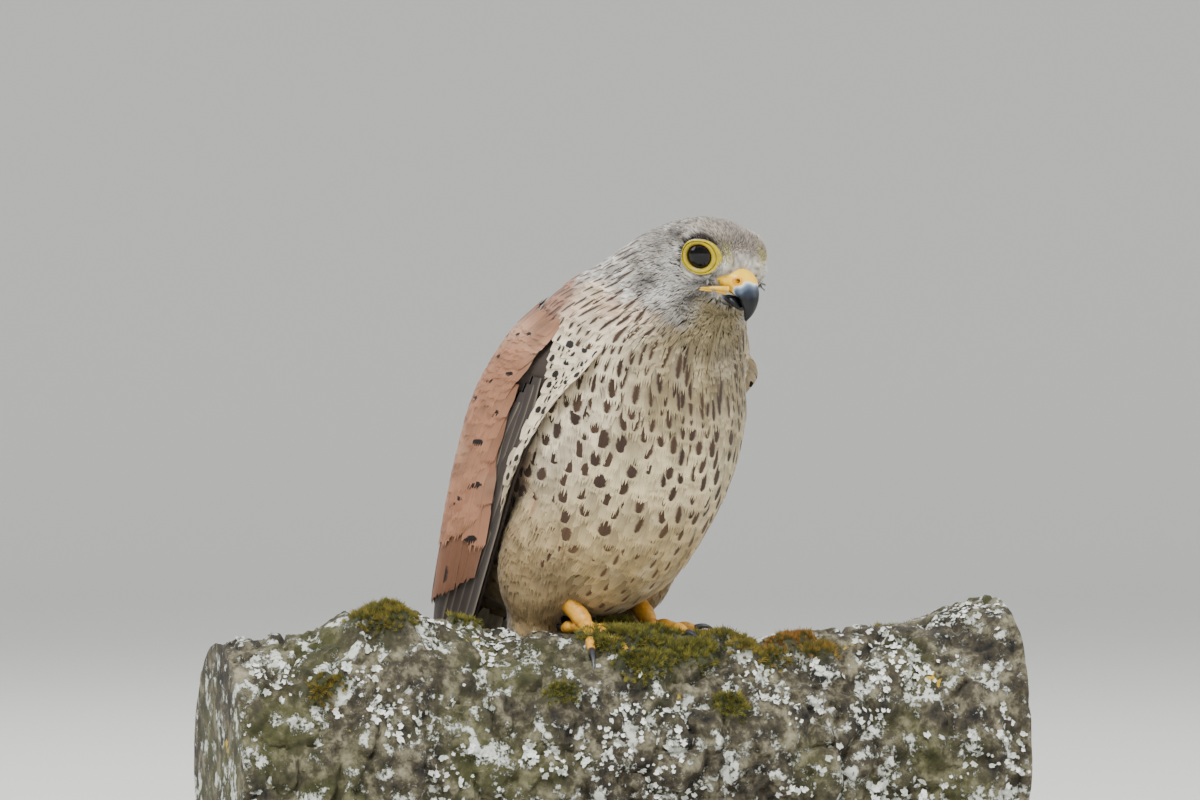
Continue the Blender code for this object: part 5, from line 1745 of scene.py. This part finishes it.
def strew(bed, shape, material, density, sizes, seed):
    """Turns a bed mesh into copies of a shape strewn over it where its cover is high."""
    tree = bpy.data.node_groups.new("strew", "GeometryNodeTree")
    face = tree.interface
    kinds = ("Geometry", "Object", "Float", "Float", "Float", "Int")
    for name, kind in zip(("Bed", "Shape", "Density", "Smallest", "Largest", "Seed"), kinds):
        face.new_socket(name, in_out="INPUT", socket_type="NodeSocket" + kind)
    face.new_socket("Strewn", in_out="OUTPUT", socket_type="NodeSocketGeometry")
    inputs = add_node(tree, "NodeGroupInput").outputs
    floats = {"data_type": "FLOAT"}

    def any_from(low, high, number):
        links = {2: low, 3: high, "Seed": number}
        return add_node(tree, "FunctionNodeRandomValue", floats, links).outputs[1]

    def turned(rotation, axis, angle):
        turn = add_node(tree, "FunctionNodeAxisAngleToRotation", links={"Axis": axis, "Angle": angle})
        links = {0: rotation, 1: turn.outputs[0]}
        return add_node(tree, "FunctionNodeRotateRotation", {"rotation_space": "LOCAL"}, links).outputs[0]

    cover = add_node(tree, "GeometryNodeInputNamedAttribute", floats, {"Name": "cover"})
    links = {0: inputs["Density"], 1: cover.outputs["Attribute"]}
    thick = add_node(tree, "ShaderNodeMath", {"operation": "MULTIPLY"}, links)
    links = {"Mesh": inputs["Bed"], "Density": thick.outputs[0], "Seed": inputs["Seed"]}
    spread = add_node(tree, "GeometryNodeDistributePointsOnFaces", links=links)
    spun = turned(spread.outputs["Rotation"], (0, 0, 1), any_from(0.0, math.tau, 11))
    source = add_node(tree, "GeometryNodeObjectInfo", links={"Object": inputs["Shape"]})
    links = {
        "Points": spread.outputs["Points"],
        "Instance": source.outputs["Geometry"],
        "Rotation": turned(spun, (1, 0, 0), any_from(-0.4, 0.4, 12)),
        "Scale": any_from(inputs["Smallest"], inputs["Largest"], inputs["Seed"]),
    }
    placed = add_node(tree, "GeometryNodeInstanceOnPoints", links=links)
    links = {"Geometry": placed.outputs[0], "Name": "age", "Value": any_from(0.0, 1.0, 13)}
    settings = {"data_type": "FLOAT", "domain": "INSTANCE"}
    aged = add_node(tree, "GeometryNodeStoreNamedAttribute", settings, links)
    real = add_node(tree, "GeometryNodeRealizeInstances", links={0: aged.outputs[0]})
    links = {"Geometry": real.outputs[0], "Material": material}
    dressed = add_node(tree, "GeometryNodeSetMaterial", links=links)
    add_node(tree, "NodeGroupOutput", links={0: dressed.outputs[0]})
    modifier = bed.modifiers.new("strew", "NODES")
    modifier.node_group = tree
    given = {"Shape": shape, "Density": density, "Smallest": sizes[0], "Largest": sizes[1], "Seed": seed}
    for item in face.items_tree:
        if item.in_out == "INPUT" and item.name in given:
            modifier[item.identifier] = given[item.name]
    graph = bpy.context.evaluated_depsgraph_get()
    bed.data = bpy.data.meshes.new_from_object(bed.evaluated_get(graph))
    bed.modifiers.clear()
    bpy.data.objects.remove(shape)


def aged_material(name, fresh, old, brown):
    """Moss or lichen, each shoot or flake of its own age, and browner where it is dry."""
    made, tree, shader = new_material(name)
    age = attribute_of(tree, "age", "Fac")
    links = {0: attribute_of(tree, "brown", "Fac"), 1: age}
    share = add_node(tree, "ShaderNodeMath", {"operation": "MULTIPLY"}, links).outputs[0]
    base = mix_of(tree, age, rgba(fresh), rgba(old))
    feed(tree, shader, {"Base Color": mix_of(tree, share, base, rgba(brown)), "Roughness": 0.9})
    return made


def plain_material(name, code, roughness):
    """A material of one colour."""
    made, tree, shader = new_material(name)
    feed(tree, shader, {"Base Color": rgba(code), "Roughness": roughness})
    return made


def toe_height(x, y):
    """The height of the branch's top under a point near the feet."""
    turn = math.radians(PERCH_TURN)
    across = -x * math.sin(turn) + y * math.cos(turn) + PERCH_AHEAD
    return np.sqrt(PERCH_RADIUS**2 - across**2) - PERCH_RADIUS


def toe_point(sign, turn, reach, lift):
    """A point over the branch, so far along a toe from the ankle and so high above it."""
    angle = math.radians(turn)
    x = sign * (LEG_SPREAD + reach * math.sin(angle))
    y = ANKLE_BACK - reach * math.cos(angle)
    return np.array([x, y, toe_height(x, y) + TOE_LIFT + lift])


def make_feet(skin, horn):
    """Bare legs and toes with a row of scutes along their tops, and the claws."""
    noise = Noise(95)
    for name, sign in (("left", 1), ("right", -1)):
        shank = [(sign * x, y, z) for x, y, z in SHANK] + [toe_point(sign, 0, 0, 2.0)]
        places = np.linspace(0, 3, 40)
        path = catmull(np.array(shank), places)
        radii = catmull(np.array(SHANK_RADII + [2.2])[:, None], places)[:, 0]
        radii = radii * (1 + 0.05 * np.abs(np.sin(places * 9)))
        tubes = [sweep(path, radii, 24, (0, -1, 0.2))]
        for turn, length, thick in TOES.values():
            share = np.linspace(0, 1, 70)
            swell = thick * (1 - 0.32 * share + 0.07 * np.cos(share * math.tau * 2.5))
            path = [toe_point(sign, turn, length * s, r) for s, r in zip(share, swell)]
            around = np.linspace(0, math.tau, 22, endpoint=False)
            top = np.clip(np.cos(around), 0, 1) ** 0.5
            scute = (share * length / 1.25) % 1.0
            step = 1 + 0.075 * top[None, :] * (scute[:, None] ** 1.5)
            pads = 1 + 0.08 * np.clip(-np.cos(around), 0, 1)[None, :] * np.sin(share * 9)[:, None]
            tubes.append(sweep(path, swell[:, None] * step * pads, 22))
        points, faces = join_tubes(tubes)
        tint = {"tint": paint("#D59C34", ("#A06A22", 0.6 * smoothstep(0, 0.7, noise.at(points, 3))))}
        piece = mesh_object("scaled_foot_" + name, points, faces, skin, colours=tint)
        finish_piece(piece, "yellow_skin", "foot_" + name)
        for toe, (turn, length, thick) in TOES.items():
            root = thick * (1 - 0.32 + 0.07 * math.cos(math.tau * 2.5))
            share = np.linspace(0, 1, 28)
            radius = np.maximum(root * 0.92 * (1 - share**1.4), 0.12)
            arch = 1.6 * np.sin(math.pi * share**0.8) * share**0.2
            path = []
            for s, r, high in zip(share, radius, arch):
                reach = length + 0.3 + CLAW_LENGTH * 0.86 * s
                path.append(toe_point(sign, turn, reach, max(root * (1 - s), r) + high))
            points, faces = closed_loft(sweep(path, radius, 18))
            node = "claw_" + name + "_" + toe
            piece = mesh_object(node + "_horn", points, outward(points, faces), horn)
            finish_piece(piece, "black_claw", node)


def horn_material():
    """Black claw horn, greyer in places at random."""
    made, tree, shader = new_material("black_claw_horn")
    colour = ramp_of(tree, noise_of(tree, 400.0, 3.0), (0.0, "#141416"), (1.0, "#44454C"))
    feed(tree, shader, {"Base Color": colour, "Roughness": 0.3})
    return made


def wood_material():
    """Dark stained beech: fine straight grain under satin varnish."""
    made, tree, shader = new_material("stained_beech")
    grain = noise_of(tree, 1.0, 6.0, stretch=(12.0, 260.0, 260.0))
    looks = {
        "Base Color": ramp_of(tree, grain, (0.3, "#2A1C14"), (0.7, "#5B3F2B")),
        "Normal": bump_of(tree, grain, 0.0002, 0.2),
        "Roughness": 0.38,
        "Coat Weight": 0.3,
    }
    feed(tree, shader, looks)
    return made


def steel_material():
    """Brushed dark steel rod."""
    made, tree, shader = new_material("brushed_steel_rod")
    grain = noise_of(tree, 1.0, 2.0, stretch=(900.0, 900.0, 40.0))
    looks = {
        "Base Color": rgba("#8C8C8E"),
        "Normal": bump_of(tree, grain, 0.0001, 0.2),
        "Metallic": 1.0,
        "Roughness": 0.34,
    }
    feed(tree, shader, looks)
    return made


def make_studio():
    """A pale floor that turns up into a round wall far outside, with soft lights."""
    profile = [(0.0, 0.0), (5.5, 0.0)]
    for step in range(1, 13):
        angle = math.pi / 2 * step / 12
        profile.append((5.5 + 2.0 * math.sin(angle), 2.0 - 2.0 * math.cos(angle)))
    profile.append((7.5, 6.0))
    mesh = bmesh.new()
    sides = 96
    centre = mesh.verts.new((0, 0, 0))
    rows = []
    for radius, height in profile[1:]:
        row = []
        for k in range(sides):
            angle = math.tau * k / sides
            row.append(mesh.verts.new((radius * math.cos(angle), radius * math.sin(angle), height)))
        rows.append(row)
    for k in range(sides):
        mesh.faces.new((centre, rows[0][k], rows[0][(k + 1) % sides]))
    for lower, upper in zip(rows, rows[1:]):
        for k in range(sides):
            j = (k + 1) % sides
            mesh.faces.new((lower[k], upper[k], upper[j], lower[j]))
    bmesh.ops.recalc_face_normals(mesh, faces=mesh.faces)
    data = bpy.data.meshes.new("studio_floor")
    mesh.to_mesh(data)
    mesh.free()
    data.shade_smooth()
    floor_look = plain_material("pale_studio_floor", "#D9D8D4", 0.9)
    data.materials.append(floor_look)
    floor = bpy.data.objects.new("studio_floor", data)
    bpy.context.scene.collection.objects.link(floor)
    world = bpy.data.worlds.new("soft_studio")
    world.use_nodes = True
    world.node_tree.nodes["Background"].inputs["Color"].default_value = (0.93, 0.96, 1.0, 1)
    world.node_tree.nodes["Background"].inputs["Strength"].default_value = 1.05
    bpy.context.scene.world = world
    target = Vector(FEET * MM) + Vector((0, 0, 0.08))
    lights = (
        ("key", (-1.5, -1.4, 2.4), 1.0, 140),
        ("fill", (1.6, -1.6, 1.0), 1.8, 22),
        ("rim", (0.9, 1.8, 2.0), 1.4, 36),
        ("left", (-2.3, 0.9, 1.2), 1.4, 22),
    )
    for name, spot, size, power in lights:
        light = bpy.data.lights.new(name, "AREA")
        light.shape = "DISK"
        light.size = size
        light.energy = power
        made = bpy.data.objects.new(name, light)
        made.location = target + Vector(spot)
        made.rotation_euler = (target - made.location).to_track_quat("-Z", "Y").to_euler()
        bpy.context.scene.collection.objects.link(made)


def make_camera():
    """The photo's view: from the bird's right front, level with its breast."""
    azimuth = math.radians(-42)
    lens = 200
    frame_width = 0.450
    sensor = 36
    distance = lens * frame_width / sensor
    right = Vector((math.cos(azimuth), math.sin(azimuth), 0))
    back = Vector((math.sin(azimuth), -math.cos(azimuth), 0))
    target = Vector(FEET * MM) + right * -0.003 + Vector((0, 0, 0.0874))
    data = bpy.data.cameras.new("photo_view")
    data.lens = lens
    data.sensor_width = sensor
    data.clip_end = 50
    camera = bpy.data.objects.new("photo_view", data)
    camera.location = target + back * distance
    camera.rotation_euler = (-back).to_track_quat("-Z", "Y").to_euler()
    bpy.context.scene.collection.objects.link(camera)
    bpy.context.scene.camera = camera


def dress_stand():
    """Finishes for the nodes that stay as they are."""
    wood = wood_material()
    steel = steel_material()
    for node, look in (("stand_base", wood), ("stand_rod_left", steel), ("stand_rod_right", steel)):
        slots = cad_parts[node].material_slots
        if len(slots):
            slots[0].material = look
        else:
            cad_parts[node].data.materials.append(look)


def make_gape(material):
    """The yellow lips that run back from the bill under each eye, parted by the mouth's line."""
    path = catmull(np.array(GAPE), np.linspace(0, 2, 30))
    ends = np.linspace(0, 1, 30)
    outer = path[:, 2] + 1.3 + 0.7 * np.sin(ends * math.pi)
    for name, sign in SIDES:
        lips = []
        for offset, radius in ((1.3, 0.95), (-0.4, 0.7)):
            sizes = radius * (1.25 - 0.75 * ends) * np.sqrt(np.clip(1.02 - ends**6, 0.02, 1))
            line = head_point(path[:, 0], path[:, 1] + offset * (1 - 0.6 * ends), sign * outer)
            lips.append(sweep(line, sizes, 16))
        points, faces = join_tubes(lips)
        tint = {"tint": even_tint("#DDAE30", points)}
        finish_piece(mesh_object("gape_" + name, points, faces, material, colours=tint), "yellow_skin")


def make_bristles(material):
    """Fine stiff bristles over the nostrils and round the gape."""
    rng = np.random.default_rng(91)
    hairs = []
    ends = np.linspace(0, 1, 5)[:, None]
    for sign in (1, -1):
        for _ in range(26):
            share = rng.uniform(0.4, 1)
            root = np.array([10.4 - 3.2 * share, 3.2 - 11.5 * share, 5.4 + 6.2 * share])
            root = root + rng.normal(0, 0.35, 3)
            ahead = rng.uniform(1.2, 2.6)
            up = rng.uniform(-1.6, 0.6) - 1.2 * share
            lean = np.array([ahead, up, rng.uniform(0.0, 0.5)])
            path = root + lean * ends + np.array([0, -0.7, 0]) * ends**2
            line = head_point(path[:, 0], path[:, 1], sign * path[:, 2])
            hairs.append(sweep(line, np.linspace(0.07, 0.02, 5), 4))
    points, faces = join_tubes(hairs)
    tint = {"tint": even_tint("#4A443C", points)}
    piece = mesh_object("bristles", points, faces, material, colours=tint)
    finish_piece(piece, "grey_head_feathers")


def main():
    make_camera()
    make_studio()
    body = body_surface(0)
    wings = [wing_surface(1), wing_surface(-1)]
    plumes = feather_material("contour_feathers", 0.8, 0.5, 0.1)
    quills = feather_material("flight_feathers", 0.62, 0.42, 0.05)
    make_skin(skin_material())
    for piece in body_coat(body, wings, plumes):
        finish_piece(piece, "grey_head_feathers" if "head" in piece.name else "cream_spotted_feathers")
    thigh_coat(1, "feathers_thigh_left", plumes)
    thigh_coat(-1, "feathers_thigh_right", plumes)
    # The wing cores' dark brown: painted shade under the wing feathers.
    down = plain_material("wing_core_painted_shade", "#3A302A", 0.9)
    make_wing("left", 1, wings[0], quills, down)
    make_wing("right", -1, wings[1], quills, down)
    make_tail(quills)
    make_eyes(eye_material())
    wet = bare_skin_material("yellow_eye_ring", 2600.0, 0.00012, 0.36)
    make_eye_rings(wet)
    make_bill(bill_material())
    make_gape(wet)
    make_bristles(plain_material("dark_bristles", "#4A443C", 0.6))
    make_feet(bare_skin_material("yellow_leg_scales", 900.0, 0.00025, 0.45), horn_material())
    moss = aged_material("cushion_moss", "#3F4516", "#7C7A2A", "#A5662A")
    flakes = aged_material("pale_lichen", "#F0F2EC", "#B4B9AC", "#D9D6C2")
    make_branch(bark_material(), moss, flakes)
    dress_stand()


main()
